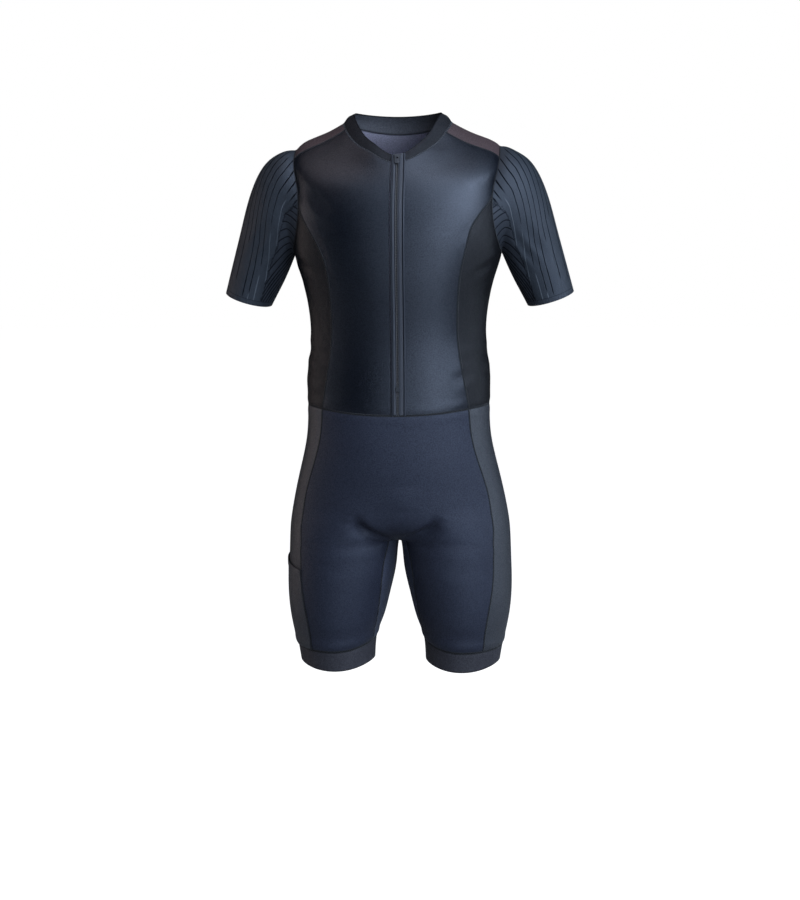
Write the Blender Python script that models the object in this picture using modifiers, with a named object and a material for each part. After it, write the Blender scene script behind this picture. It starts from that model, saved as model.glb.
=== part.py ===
"""Short-sleeved triathlon suit, held in its worn shape: cut panels, zip, collar, sleeves, leg grippers.

Metres, +Z up, +X the wearer's left, the front faces -Y. The origin is in the middle of the neck base,
level with the side-neck points of the yokes. Every panel is a wall of cloth on one smooth worn form;
neighbouring panels stop a hair short of each other along the seam.
"""
from collections import namedtuple
from math import pi

import bpy
import numpy as np
from mathutils import Matrix, Vector

for old in list(bpy.data.objects):
    bpy.data.objects.remove(old, do_unlink=True)

# ---------------------------------------------------------------- driving sizes (metres)
CLOTH = 0.0012            # wall of the body panels
COLLAR_WALL = 0.0020      # two layers of the same jersey
GRIPPER_WALL = 0.0015     # elastic knit band
TAPE_WALL = 0.0010        # woven zip tape
SEAM_HALF_GAP = 0.00017   # each panel stops this far short of the seam line
GRIPPER_STEP = 0.0005     # leg band lies this much under the shorts
LAYER_GAP = 0.0003        # pocket over side panel

ZIP_X = 0.006             # zip centre line lies a little to the wearer's left
ZIP_HALF = 0.011          # half the width of the zip placket
COIL_HALF_GAP = 0.00016   # between the two coil halves
COIL_WIDTH = 0.0026       # one half of the coil
COIL_PROUD = 0.0011       # coil above the tape
COIL_END_Z = -0.415       # the coil stops above the waist

RIBS = 28                 # lengthwise ribs round a sleeve
RIB_PROUD = 0.0005

# ---------------------------------------------------------------- worn form: torso sections
# half_width, side_y: widest point; front_y, back_y: centre front and back; side_z: level at the side;
# front_dip, back_dip: how much lower the section runs there; square: 2 is an ellipse, more is squarer;
# turn: how early the dip begins; front_cut, back_cut: cloth width from the centre to the panel seam
Torso = namedtuple("Torso", "half_width side_y front_y back_y side_z front_dip back_dip square turn "
                            "front_cut back_cut")
TORSO = [
    Torso(0.1523, -0.002, -0.106, 0.089, -0.4570, -0.0142, 0.002, 2.35, 3.0, 0.1280, 0.105),
    Torso(0.1530, -0.002, -0.104, 0.087, -0.4050, -0.0120, 0.003, 2.35, 3.0, 0.1170, 0.098),
    Torso(0.1467, -0.002, -0.105, 0.090, -0.3430, -0.0100, 0.002, 2.35, 2.5, 0.1075, 0.090),
    Torso(0.1508, -0.002, -0.111, 0.101, -0.2900, -0.0090, 0.000, 2.40, 2.5, 0.1070, 0.090),
    Torso(0.1612, -0.001, -0.117, 0.111, -0.2450, -0.0080, 0.000, 2.45, 2.5, 0.1100, 0.096),
    Torso(0.1727, 0.000, -0.120, 0.118, -0.2050, -0.0080, 0.000, 2.55, 2.2, 0.1190, 0.108),
    Torso(0.1745, 0.000, -0.121, 0.122, -0.1600, -0.0150, -0.002, 2.65, 2.0, 0.1400, 0.128),
    Torso(0.1740, 0.000, -0.118, 0.122, -0.1150, -0.0330, -0.010, 2.65, 1.7, 0.1600, 0.150),
    Torso(0.1735, 0.001, -0.113, 0.118, -0.0740, -0.0520, -0.022, 2.60, 1.5, 0.1750, 0.165),
    Torso(0.1745, 0.001, -0.107, 0.112, -0.0460, -0.0630, -0.030, 2.50, 1.35, 0.1800, 0.170),
    Torso(0.1655, 0.002, -0.101, 0.103, -0.0275, -0.0680, -0.028, 2.30, 1.2, 0.1780, 0.165),
    Torso(0.1290, 0.003, -0.0925, 0.085, -0.0105, -0.0680, -0.022, 2.00, 1.2, 0.1500, 0.140),
    Torso(0.0900, 0.005, -0.0820, 0.062, 0.0090, -0.0690, -0.017, 1.75, 1.35, 0.1100, 0.100),
]

# the armhole as an oval on the form: distances along the cloth from the side line
ARMHOLE_FRONT = 0.071
ARMHOLE_BACK = 0.080
ARMHOLE_BOTTOM_Z = -0.2065
ARMHOLE_TOP_X = 0.1700

# ---------------------------------------------------------------- worn form: shorts sections
# centre_x: middle of the leg (0 while the section is still one ring round the hips); outer_x: side;
# dips as above; inner_rise: how much higher the inner leg runs; bridge: how far the cloth spans the
# cleft at the centre line; front_cut, back_cut: cloth width from the centre (or inner leg) to the side
# panel; inner_front, inner_back: from the inner leg to the seam of the inner panel
Shorts = namedtuple("Shorts", "centre_x outer_x centre_y front_y back_y side_z front_dip back_dip "
                              "inner_rise square bridge front_cut back_cut inner_front inner_back")
SHORTS = [
    Shorts(0.0, 0.1523, -0.002, -0.106, 0.089, -0.4570, -0.0142, 0.002, 0.0, 2.35, 0.0,
           0.128, 0.105, 0.000, 0.000),
    Shorts(0.0, 0.1545, -0.001, -0.108, 0.103, -0.5080, -0.0080, 0.000, 0.0, 2.30, 0.0,
           0.134, 0.117, 0.000, 0.000),
    Shorts(0.0, 0.1655, 0.003, -0.107, 0.120, -0.5610, -0.0040, 0.000, 0.0, 2.25, 0.0,
           0.150, 0.139, 0.000, 0.000),
    Shorts(0.022, 0.1765, 0.007, -0.103, 0.129, -0.6080, -0.0030, 0.000, 0.0, 2.20, 0.045,
           0.165, 0.1525, 0.000, 0.000),
    Shorts(0.050, 0.1832, 0.010, -0.098, 0.128, -0.6430, -0.0020, 0.000, -0.004, 2.15, 0.040,
           0.169, 0.1565, 0.000, 0.000),
    Shorts(0.072, 0.1862, 0.011, -0.094, 0.122, -0.6640, -0.0010, 0.000, -0.003, 2.10, 0.024,
           0.172, 0.159, 0.000, 0.000),
    Shorts(0.084, 0.1870, 0.012, -0.092, 0.118, -0.6780, 0.0000, 0.000, 0.001, 2.05, 0.012,
           0.177, 0.165, 0.000, 0.000),
    Shorts(0.090, 0.1874, 0.012, -0.0915, 0.115, -0.6890, 0.0000, 0.000, 0.006, 2.05, 0.005,
           0.189, 0.1765, 0.006, 0.006),
    Shorts(0.0942, 0.1878, 0.012, -0.0910, 0.112, -0.7020, 0.0000, 0.000, 0.019, 2.05, 0.0,
           0.231, 0.218, 0.052, 0.051),
    Shorts(0.0958, 0.1883, 0.012, -0.0908, 0.109, -0.7180, 0.0000, 0.000, 0.0215, 2.05, 0.0,
           0.229, 0.213, 0.055, 0.053),
    Shorts(0.0978, 0.1891, 0.012, -0.0905, 0.106, -0.7400, 0.0000, 0.000, 0.0120, 2.05, 0.0,
           0.224, 0.206, 0.059, 0.055),
    Shorts(0.1029, 0.1888, 0.011, -0.0880, 0.098, -0.7800, 0.0000, 0.000, 0.002, 2.05, 0.0,
           0.205, 0.187, 0.050, 0.050),
    Shorts(0.1060, 0.1835, 0.009, -0.0820, 0.088, -0.8250, -0.0010, 0.000, 0.004, 2.05, 0.0,
           0.179, 0.163, 0.041, 0.041),
    Shorts(0.1073, 0.1745, 0.006, -0.0730, 0.078, -0.8660, -0.0045, 0.000, 0.011, 2.05, 0.0,
           0.155, 0.1435, 0.031, 0.031),
    Shorts(0.1064, 0.1698, 0.004, -0.0680, 0.072, -0.8920, -0.0125, 0.000, 0.001, 2.05, 0.0,
           0.145, 0.135, 0.029, 0.029),
]
GRIPPER_ROW = 13          # the gripper begins at this section
CROTCH_ROW = 8            # from this section down each leg is a closed ring

# ---------------------------------------------------------------- sleeve and collar sections
# top: outer line of the sleeve; bottom: inner line; front, back: half depths; centre_y; dip: how far the
# front of the ring runs on along the arm
Sleeve = namedtuple("Sleeve", "top_x top_z bottom_x bottom_z front back centre_y dip")
SLEEVE = [
    Sleeve(0.1950, -0.0390, 0.1740, -0.2085, 0.0600, 0.0640, 0.000, 0.000),
    Sleeve(0.2110, -0.0480, 0.1752, -0.2115, 0.0595, 0.0630, 0.001, 0.001),
    Sleeve(0.2265, -0.0640, 0.1780, -0.2180, 0.0585, 0.0610, 0.002, 0.002),
    Sleeve(0.2410, -0.0910, 0.1830, -0.2295, 0.0560, 0.0580, 0.004, 0.003),
    Sleeve(0.2530, -0.1250, 0.1895, -0.2435, 0.0520, 0.0540, 0.006, 0.004),
    Sleeve(0.2640, -0.1660, 0.1965, -0.2575, 0.0475, 0.0490, 0.008, 0.005),
    Sleeve(0.2765, -0.2120, 0.2045, -0.2725, 0.0435, 0.0445, 0.010, 0.006),
    Sleeve(0.2925, -0.2705, 0.2157, -0.2938, 0.0405, 0.0405, 0.013, 0.007),
]

# collar sections in the torso's terms, from its seam to its top edge
Ring = namedtuple("Ring", "half_width side_y front_y back_y side_z front_dip back_dip square turn")
COLLAR_MIDDLE = Ring(0.0830, 0.006, -0.0783, 0.0615, 0.0190, -0.0732, -0.010, 1.80, 1.45)
COLLAR_TOP = Ring(0.0735, 0.007, -0.0745, 0.0560, 0.0270, -0.0750, -0.005, 1.85, 1.6)

# ---------------------------------------------------------------- smooth forms
RING_SAMPLES = 240


def angles(start, stop):
    """Angles from start to stop (radians), closer together at the ends."""
    ease = (1 - np.cos(np.linspace(0, pi, RING_SAMPLES))) / 2
    return start + (stop - start) * ease


def bent(value, power):
    return np.sign(value) * np.abs(value) ** power


def torso_ring(row):
    """Front and back half lines of one section, centre front to side and side to centre back."""
    halves = []
    for phi, reach, dip in ((angles(-pi / 2, 0), row.front_y, row.front_dip),
                            (angles(0, pi / 2), row.back_y, row.back_dip)):
        u = np.abs(np.sin(phi)) ** (2 / row.square)
        x = row.half_width * np.abs(np.cos(phi)) ** (2 / row.square)
        halves.append(np.stack([x, row.side_y + (reach - row.side_y) * u,
                                row.side_z + dip * u ** row.turn], -1))
    return halves


def shorts_ring(row):
    """The same for the hips (clipped at the centre line) and for a leg (a whole ring)."""
    half = row.outer_x - row.centre_x
    inner = max(-1.0, min(0.0, (row.bridge - row.centre_x) / half))
    start = pi - np.arccos(-bent(inner, row.square / 2)) if inner > -1 else pi
    stretch = row.outer_x / (row.outer_x ** 2 - row.bridge ** 2) ** 0.5
    turn = 3.0 if row.centre_x == 0 else 2.0
    halves = []
    for phi, reach, dip in ((angles(-start, 0), row.front_y, row.front_dip),
                            (angles(0, start), row.back_y, row.back_dip)):
        u = np.abs(np.sin(phi)) ** (2 / row.square)
        x = row.centre_x + half * bent(np.cos(phi), 2 / row.square)
        if row.bridge or inner > -1:
            x = np.sqrt(np.maximum(x * x - row.bridge ** 2, 0)) * stretch
        z = row.side_z + dip * u ** turn + row.inner_rise * np.maximum(-np.cos(phi), 0) ** 2
        halves.append(np.stack([x, row.centre_y + (reach - row.centre_y) * u, z], -1))
    return halves


def spline_weights(knots, t):
    """Weights of each knot's value in the natural cubic spline through them, at every t."""
    n = len(knots)
    h = np.diff(knots)
    system, right = np.eye(n), np.zeros((n, n))
    for i in range(1, n - 1):
        system[i, i - 1:i + 2] = h[i - 1], 2 * (h[i - 1] + h[i]), h[i]
        right[i, i - 1:i + 2] = 6 / h[i - 1], -6 / h[i - 1] - 6 / h[i], 6 / h[i]
    bend = np.linalg.solve(system, right)
    t = np.asarray(t, float)
    i = np.clip(np.searchsorted(knots, t, side="right") - 1, 0, n - 2)
    b = (t - knots[i]) / h[i]
    a = 1 - b
    eye = np.eye(n)
    cubic = ((a ** 3 - a) * h[i] ** 2 / 6)[..., None] * bend[i]
    cubic += ((b ** 3 - b) * h[i] ** 2 / 6)[..., None] * bend[i + 1]
    return a[..., None] * eye[i] + b[..., None] * eye[i + 1] + cubic


class Form:
    """A surface through section lines: s runs 0..1 over the front half, 1..2 over the back, t along."""

    def __init__(self, rings):
        self.rings = rings
        self.arcs = [[self.arc(half) for half in ring] for ring in rings]
        self.front_length = np.array([arc[0][-1] for arc in self.arcs])
        self.back_length = np.array([arc[1][-1] for arc in self.arcs])
        probe = np.linspace(0, 2, 41)
        lines = np.array([self.on_ring(i, probe) for i in range(len(rings))])
        steps = np.linalg.norm(np.diff(lines, axis=0), axis=-1).mean(axis=1)
        self.knots = np.concatenate([[0], np.cumsum(steps)])
        self.length = self.knots[-1]

    @staticmethod
    def arc(line):
        return np.concatenate([[0], np.cumsum(np.linalg.norm(np.diff(line, axis=0), axis=1))])

    def on_ring(self, i, s):
        s = np.asarray(s, float)
        out = np.empty(s.shape + (3,))
        for part, share in ((0, np.clip(s, 0, 1)), (1, np.clip(s - 1, 0, 1))):
            use = s <= 1 if part == 0 else s > 1
            arc = self.arcs[i][part]
            for axis in range(3):
                out[..., axis][use] = np.interp(share[use] * arc[-1], arc, self.rings[i][part][:, axis])
        return out

    def at(self, s, t):
        s, t = np.broadcast_arrays(np.asarray(s, float), np.asarray(t, float))
        weights = spline_weights(self.knots, t)
        return sum(weights[..., i, None] * self.on_ring(i, s) for i in range(len(self.rings)))

    def value(self, per_ring, t):
        return spline_weights(self.knots, t) @ np.asarray(per_ring, float)

    def find(self, s, axis, target, low=0.0, high=1.0):
        """The t (between two shares of the length) where a coordinate at s reaches the target."""
        low, high = low * self.length, high * self.length
        rising = self.at(s, high)[axis] > self.at(s, low)[axis]
        for _ in range(40):
            middle = (low + high) / 2
            if (self.at(s, middle)[axis] < target) == rising:
                low = middle
            else:
                high = middle
        return (low + high) / 2

    def normal(self, s, t, step=1e-3):
        """Direction across the surface (ds x dt), of length one."""
        s, t = np.broadcast_arrays(np.asarray(s, float), np.asarray(t, float))
        ds = self.at(np.minimum(s + step, 2), t) - self.at(np.maximum(s - step, 0), t)
        dt = self.at(s, t + step * 0.3) - self.at(s, t - step * 0.3)
        across = np.cross(ds, dt)
        return across / np.linalg.norm(across, axis=-1, keepdims=True)


torso = Form([torso_ring(row) for row in TORSO])
shorts = Form([shorts_ring(row) for row in SHORTS])
collar_form = Form([torso_ring(row) for row in (TORSO[-1], COLLAR_MIDDLE, COLLAR_TOP)])

# ---------------------------------------------------------------- seam lines on the torso
MARKS = RIBS              # stitch marks round the armhole, one for each sleeve rib
YOKE_MARK = 2             # the yoke seams meet the armhole here, front and back
PRINCESS_MARK = 7         # and the side panel's seams here


def armhole_line():
    """(s, t) of the stitch marks: from the shoulder down the front, under the arm and up the back."""
    bottom = torso.find(1.0, 2, ARMHOLE_BOTTOM_Z, 0.0, 0.6)
    top = torso.find(1.0, 0, ARMHOLE_TOP_X, 0.6, 1.0)
    a = np.linspace(0, 2 * pi, 721)
    t = (top + bottom) / 2 + (top - bottom) / 2 * np.cos(a)
    front = torso.value(torso.front_length, t)
    back = torso.value(torso.back_length, t)
    fullness = np.abs(np.sin(a)) ** 0.9
    s = np.where(np.sin(a) >= 0, 1 - ARMHOLE_FRONT * fullness / front, 1 + ARMHOLE_BACK * fullness / back)
    arc = Form.arc(torso.at(s, t))
    share = np.linspace(0, arc[-1], MARKS + 1)
    return np.interp(share, arc, s), np.interp(share, arc, t)


arm_s, arm_t = armhole_line()


def stack(s, t):
    s, t = np.broadcast_arrays(np.asarray(s, float), np.asarray(t, float))
    return np.stack([s, t], -1)


def patch(south, north, west, east):
    """Fill between four lines of (s, t) points; south and north run west to east, the others upward."""
    u = np.linspace(0, 1, len(south))[None, :, None]
    v = np.linspace(0, 1, len(west))[:, None, None]
    corners = ((1 - u) * (1 - v) * south[0] + u * (1 - v) * south[-1]
               + (1 - u) * v * north[0] + u * v * north[-1])
    return (1 - v) * south + v * north + (1 - u) * west[:, None] + u * east[:, None] - corners


# rows and columns of the panels
PRINCESS_ROWS = 12
ARM_ROWS = PRINCESS_MARK - YOKE_MARK
NECK_COLUMNS = 6
YOKE_COLUMNS = 5
YOKE_NECK_COLUMNS = 2 * YOKE_MARK
YOKE_NECK_FRONT = 0.030   # along the neck seam from the side-neck point to the yoke seam
YOKE_NECK_BACK = 0.034


def princess_line(back):
    """Side-panel seam, from the waist to its stitch mark: (s, t) points."""
    mark = MARKS - PRINCESS_MARK if back else PRINCESS_MARK
    lengths = torso.back_length if back else torso.front_length
    cuts = np.array([row.back_cut if back else row.front_cut for row in TORSO])
    share = (cuts / lengths)[:PRINCESS_KNOTS]
    end_s, end_t = arm_s[mark], arm_t[mark]
    knots = np.append(torso.knots[:PRINCESS_KNOTS], end_t)
    share = np.append(share, 2 - end_s if back else end_s)
    t = np.linspace(0, end_t, PRINCESS_ROWS + 1)
    s = spline_weights(knots, t) @ share
    return stack(2 - s if back else s, t)


PRINCESS_KNOTS = 6


def half_panel(back, centre):
    """Front or back panel of the torso from the line `centre` (metres from the middle) to its seams."""
    lengths = torso.back_length if back else torso.front_length

    def inner(t):
        share = centre / torso.value(lengths, t)
        return stack(2 - share if back else share, t)

    seam = princess_line(back)
    if back:
        marks = np.arange(MARKS - PRINCESS_MARK, MARKS - YOKE_MARK + 1)
        neck_s = 1 + YOKE_NECK_BACK / lengths[-1]
    else:
        marks = np.arange(PRINCESS_MARK, YOKE_MARK - 1, -1)
        neck_s = 1 - YOKE_NECK_FRONT / lengths[-1]
    east = np.concatenate([seam, stack(arm_s[marks], arm_t[marks])[1:]])
    turn_t = torso.length * 0.66
    west_t = np.concatenate([np.linspace(0, turn_t, PRINCESS_ROWS + 1),
                             np.linspace(turn_t, torso.length, ARM_ROWS + 1)[1:]])
    west = inner(west_t)
    neck = stack(np.linspace(west[-1, 0], neck_s, NECK_COLUMNS + 1), torso.length)
    yoke = np.linspace(neck[-1], east[-1], YOKE_COLUMNS + 1)
    north = np.concatenate([neck, yoke[1:]])
    columns = NECK_COLUMNS + YOKE_COLUMNS
    south = stack(np.linspace(west[0, 0], east[0, 0], columns + 1), 0.0)
    return patch(south, north, west, east)


def side_panel():
    front, back = princess_line(False), princess_line(True)
    marks = np.arange(PRINCESS_MARK, MARKS - PRINCESS_MARK + 1)
    north = stack(arm_s[marks], arm_t[marks])
    south = stack(np.linspace(front[0, 0], back[0, 0], len(marks)), 0.0)
    return patch(south, north, front, back)


def yoke_panel():
    neck_front = 1 - YOKE_NECK_FRONT / torso.front_length[-1]
    neck_back = 1 + YOKE_NECK_BACK / torso.back_length[-1]
    neck = stack(np.linspace(neck_front, neck_back, YOKE_NECK_COLUMNS + 1), torso.length)
    marks = np.arange(YOKE_MARK, -YOKE_MARK - 1, -1) % MARKS
    arm = stack(arm_s[marks], arm_t[marks])
    west = np.linspace(arm[0], neck[0], YOKE_COLUMNS + 1)
    east = np.linspace(arm[-1], neck[-1], YOKE_COLUMNS + 1)
    return patch(arm, neck, west, east)


# ---------------------------------------------------------------- seam lines on the shorts
HIP_ROWS = 10             # rows above the point where the inner-leg panels begin
LEG_ROWS = 10             # rows from there to the gripper
FRONT_COLUMNS = 9
SIDE_COLUMNS = 6
INNER_COLUMNS = 4         # each side of the inner-leg line
GUSSET_START = 6.8        # the inner-leg panels begin between these sections

gusset_t = float(np.interp(GUSSET_START, np.arange(len(SHORTS)), shorts.knots))
gripper_t = shorts.knots[GRIPPER_ROW]
crotch_t = shorts.knots[CROTCH_ROW]
shorts_t = np.concatenate([np.linspace(0, gusset_t, HIP_ROWS + 1),
                           np.linspace(gusset_t, gripper_t, LEG_ROWS + 1)[1:]])


def shorts_share(column, back, t):
    """Share s' (0 at the centre or inner leg) of a cut width measured along the cloth."""
    lengths = shorts.back_length if back else shorts.front_length
    cuts = np.array([getattr(row, column) for row in SHORTS])
    return shorts.value(cuts / lengths, t)


def inner_share(back, t):
    """Share of the inner-leg seam: nothing above the gusset point."""
    first = int(GUSSET_START) + 1
    lengths = shorts.back_length if back else shorts.front_length
    cuts = np.array([row.inner_back if back else row.inner_front for row in SHORTS]) / lengths
    knots = np.concatenate([[gusset_t], shorts.knots[first:]])
    values = np.concatenate([[0], cuts[first:]])
    t = np.asarray(t, float)
    return np.where(t <= gusset_t, 0.0, spline_weights(knots, np.maximum(t, gusset_t)) @ values)


def shorts_half(back, t=shorts_t):
    """Grid of (s, t), each row from the centre line or inner-leg seam out to the side panel."""
    inner = inner_share(back, t)
    outer = shorts_share("back_cut" if back else "front_cut", back, t)
    u = np.linspace(0, 1, FRONT_COLUMNS + 1)
    s = inner[:, None] * (1 - u) + outer[:, None] * u
    return stack(2 - s if back else s, t[:, None])


def shorts_side(t=shorts_t):
    front = shorts_share("front_cut", False, t)
    back = 2 - shorts_share("back_cut", True, t)
    u = np.linspace(0, 1, SIDE_COLUMNS + 1)
    return stack(front[:, None] * (1 - u) + back[:, None] * u, t[:, None])


def inner_leg():
    """Inner-leg panel: the top edge is the crotch seam, front to back under the body."""
    t_edge = shorts_t[HIP_ROWS:]
    v = (t_edge - gusset_t) / (gripper_t - gusset_t)
    columns = []
    for u in np.linspace(1, -1, 2 * INNER_COLUMNS + 1):
        top = crotch_t + (gusset_t - crotch_t) * abs(u)
        t = top + (gripper_t - top) * v
        share = inner_share(u < 0, t_edge) * abs(u)
        columns.append(stack(2 - share if u < 0 else share, t))
    return np.stack(columns, axis=1)


# ---------------------------------------------------------------- building the solids
suit = bpy.data.collections.new("triathlon_suit")
bpy.context.scene.collection.children.link(suit)

COLOURS = {
    "satin_panel": ((0.020, 0.026, 0.040), 0.42, 0.0),
    "matt_jersey": ((0.028, 0.032, 0.046), 0.80, 0.0),
    "side_jersey": ((0.020, 0.019, 0.021), 0.62, 0.0),
    "yoke_jersey": ((0.036, 0.026, 0.028), 0.70, 0.0),
    "collar_jersey": ((0.020, 0.023, 0.028), 0.75, 0.0),
    "rib_knit": ((0.036, 0.047, 0.056), 0.75, 0.0),
    "gripper_knit": ((0.034, 0.031, 0.041), 0.85, 0.0),
    "zip_tape": ((0.030, 0.034, 0.042), 0.80, 0.0),
    "zip_metal": ((0.030, 0.032, 0.036), 0.40, 0.8),
    "pull_metal": ((0.42, 0.43, 0.45), 0.38, 0.9),
}


def material(node, look):
    made = bpy.data.materials.new(f"{node}_{look}")
    made.use_nodes = True
    colour, roughness, metallic = COLOURS[look]
    shader = made.node_tree.nodes["Principled BSDF"]
    shader.inputs["Base Color"].default_value = (*colour, 1)
    shader.inputs["Roughness"].default_value = roughness
    shader.inputs["Metallic"].default_value = metallic
    made.diffuse_color = (*colour, 1)
    return made


def add_object(name, points, faces, look):
    mesh = bpy.data.meshes.new(name)
    mesh.from_pydata([tuple(p) for p in points], [], faces)
    mesh.materials.append(material(name, look))
    made = bpy.data.objects.new(name, mesh)
    suit.objects.link(made)
    return made


def inset(grid, edges, gap=SEAM_HALF_GAP):
    """Draw the named edges (w, e, s, n) of a grid of points in by the seam gap."""
    out = grid.copy()
    lines = {"w": (np.s_[:, 0], np.s_[:, 1]), "e": (np.s_[:, -1], np.s_[:, -2]),
             "s": (np.s_[0], np.s_[1]), "n": (np.s_[-1], np.s_[-2])}
    for edge in edges:
        rim, inner = lines[edge]
        along = np.gradient(grid[rim], axis=0)
        along /= np.maximum(np.linalg.norm(along, axis=1, keepdims=True), 1e-9)
        into = grid[inner] - grid[rim]
        into -= along * np.sum(into * along, axis=1, keepdims=True)
        into /= np.maximum(np.linalg.norm(into, axis=1, keepdims=True), 1e-9)
        out[rim] += gap * into
    return out


def grid_faces(rows, columns, flip, wrap=False):
    faces = []
    for j in range(rows - 1):
        for i in range(columns - (0 if wrap else 1)):
            k = (i + 1) % columns
            face = (j * columns + i, j * columns + k, (j + 1) * columns + k, (j + 1) * columns + i)
            faces.append(face[::-1] if flip else face)
    return faces


def skins(name, outer, inner, look, flip=False, wrap=False, side=1, joined_rows=0):
    """A wall from two grids with equal rows; the outer may have more columns. The first rows of the
    west edge can be left open, to be joined to a mirrored half."""
    rows, wide = outer.shape[:2]
    narrow = inner.shape[1]
    ratio = (wide if wrap else wide - 1) // (narrow if wrap else narrow - 1)
    points = np.concatenate([outer.reshape(-1, 3), inner.reshape(-1, 3)]) * (side, 1, 1)
    flip = flip != (side < 0)
    base = rows * wide
    faces = grid_faces(rows, wide, flip, wrap)
    faces += [tuple(base + k for k in face[::-1]) for face in grid_faces(rows, narrow, flip, wrap)]
    for row, turned in ((0, False), (rows - 1, True)):
        for i in range(narrow - (0 if wrap else 1)):
            out = [row * wide + (i * ratio + k) % wide for k in range(ratio + 1)]
            low, high = base + row * narrow + i, base + row * narrow + (i + 1) % narrow
            middle = ratio // 2
            rim = [(out[k], low, out[k + 1]) for k in range(middle)]
            rim.append((out[middle], low, high))
            rim += [(out[k], high, out[k + 1]) for k in range(middle, ratio)]
            faces += [face[::-1] if turned != flip else face for face in rim]
    if not wrap:
        for out, inn, turned in ((0, 0, True), (wide - 1, narrow - 1, False)):
            for j in range(joined_rows if turned else 0, rows - 1):
                face = (j * wide + out, base + j * narrow + inn,
                        base + (j + 1) * narrow + inn, (j + 1) * wide + out)
                faces.append(face[::-1] if turned != flip else face)
    return add_object(name, points, faces, look)


def wall(name, grid, look, flip=False, thickness=CLOTH, side=1, wrap=False):
    """A cloth wall: the grid is its outer skin; Solidify gives the thickness inward."""
    points = grid * (side, 1, 1)
    made = add_object(name, points.reshape(-1, 3),
                      grid_faces(*grid.shape[:2], flip != (side < 0), wrap), look)
    thick = made.modifiers.new("cloth", "SOLIDIFY")
    thick.thickness = thickness
    thick.offset = -1
    return made


def mirrored(made):
    both = made.modifiers.new("other half", "MIRROR")
    both.use_clip = True
    both.merge_threshold = 0.0001


def on_torso(st):
    return torso.at(st[..., 0], st[..., 1])


def on_shorts(st):
    return shorts.at(st[..., 0], st[..., 1])


SIDES = (("left", 1), ("right", -1))


def panel(name, form, st, look, side=1, edges="wens", flip=False):
    """A panel cut on a form: its wall runs square to the form, so neighbours meet with an even gap."""
    outer = inset(form.at(st[..., 0], st[..., 1]), edges)
    outer[..., 0] = np.maximum(outer[..., 0], SEAM_HALF_GAP)
    away = form.normal(st[..., 0], st[..., 1]) * (1 if form is torso else -1)
    return skins(name, outer, outer - away * CLOTH, look, flip=flip, side=side)


def mirrored_panel(name, form, st, look, joined, flip):
    """A panel of both sides in one: a half joined to its mirror along the first rows of its edge."""
    plain = form.at(st[..., 0], st[..., 1])
    outer = inset(plain, "ens")
    away = form.normal(st[..., 0], st[..., 1]) * (1 if form is torso else -1)
    if joined < len(plain) - 1:
        outer[joined + 1:, 0] += inset(plain, "w")[joined + 1:, 0] - plain[joined + 1:, 0]
        rise = plain[joined - 1, 0] - plain[joined, 0]
        outer[joined, 0] += rise * 2 * SEAM_HALF_GAP / np.linalg.norm(rise)
    outer[:joined + 1, 0, 0] = 0
    away[:joined + 1, 0, 0] = 0
    made = skins(name, outer, outer - away * CLOTH, look, flip=flip, joined_rows=joined)
    mirrored(made)


for word, side in SIDES:
    panel(f"front_{word}", torso, half_panel(False, ZIP_HALF + side * ZIP_X), "satin_panel", side)
    panel(f"torso_side_{word}", torso, side_panel(), "side_jersey", side)
    panel(f"yoke_{word}", torso, yoke_panel(), "yoke_jersey", side)
    panel(f"shorts_side_{word}", shorts, shorts_side(), "side_jersey", side, flip=True)
    panel(f"inner_leg_{word}", shorts, inner_leg(), "matt_jersey", side)

TORSO_ROWS = PRINCESS_ROWS + ARM_ROWS
mirrored_panel("back", torso, half_panel(True, 0.0), "satin_panel", TORSO_ROWS, True)
mirrored_panel("shorts_front", shorts, shorts_half(False), "matt_jersey", HIP_ROWS, True)
mirrored_panel("shorts_back", shorts, shorts_half(True), "matt_jersey", HIP_ROWS, False)

# ---------------------------------------------------------------- leg grippers
GRIPPER_ROWS = 2


def gripper_grid():
    """Ring from the gripper seam to the hem, its columns in line with the panels above."""
    t = np.linspace(gripper_t, shorts.length, GRIPPER_ROWS + 1)
    inner_front, inner_back = inner_share(False, t), 2 - inner_share(True, t)
    side_front = shorts_share("front_cut", False, t)
    side_back = 2 - shorts_share("back_cut", True, t)
    stops = [np.zeros_like(t), inner_front, side_front, side_back, inner_back, np.full_like(t, 2.0)]
    counts = [INNER_COLUMNS, FRONT_COLUMNS, SIDE_COLUMNS, FRONT_COLUMNS, INNER_COLUMNS]
    columns = []
    for low, high, count in zip(stops, stops[1:], counts):
        columns += [low + (high - low) * k / count for k in range(count)]
    s = np.stack(columns, axis=1)
    t = np.broadcast_to(t[:, None], s.shape)
    return shorts.at(s, t) + shorts.normal(s, t) * GRIPPER_STEP


for word, side in SIDES:
    wall(f"gripper_{word}", inset(gripper_grid(), "s"), "gripper_knit", True, GRIPPER_WALL, side,
         wrap=True)

# ---------------------------------------------------------------- leg pocket (wearer's right)
POCKET_FRONT_T = 0.296    # along the leg to the pocket mouth, at the front seam
POCKET_BACK_T = 0.262     # and at the back seam
POCKET_HEM = 0.012
HEM_PROUD = 0.0004


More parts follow.
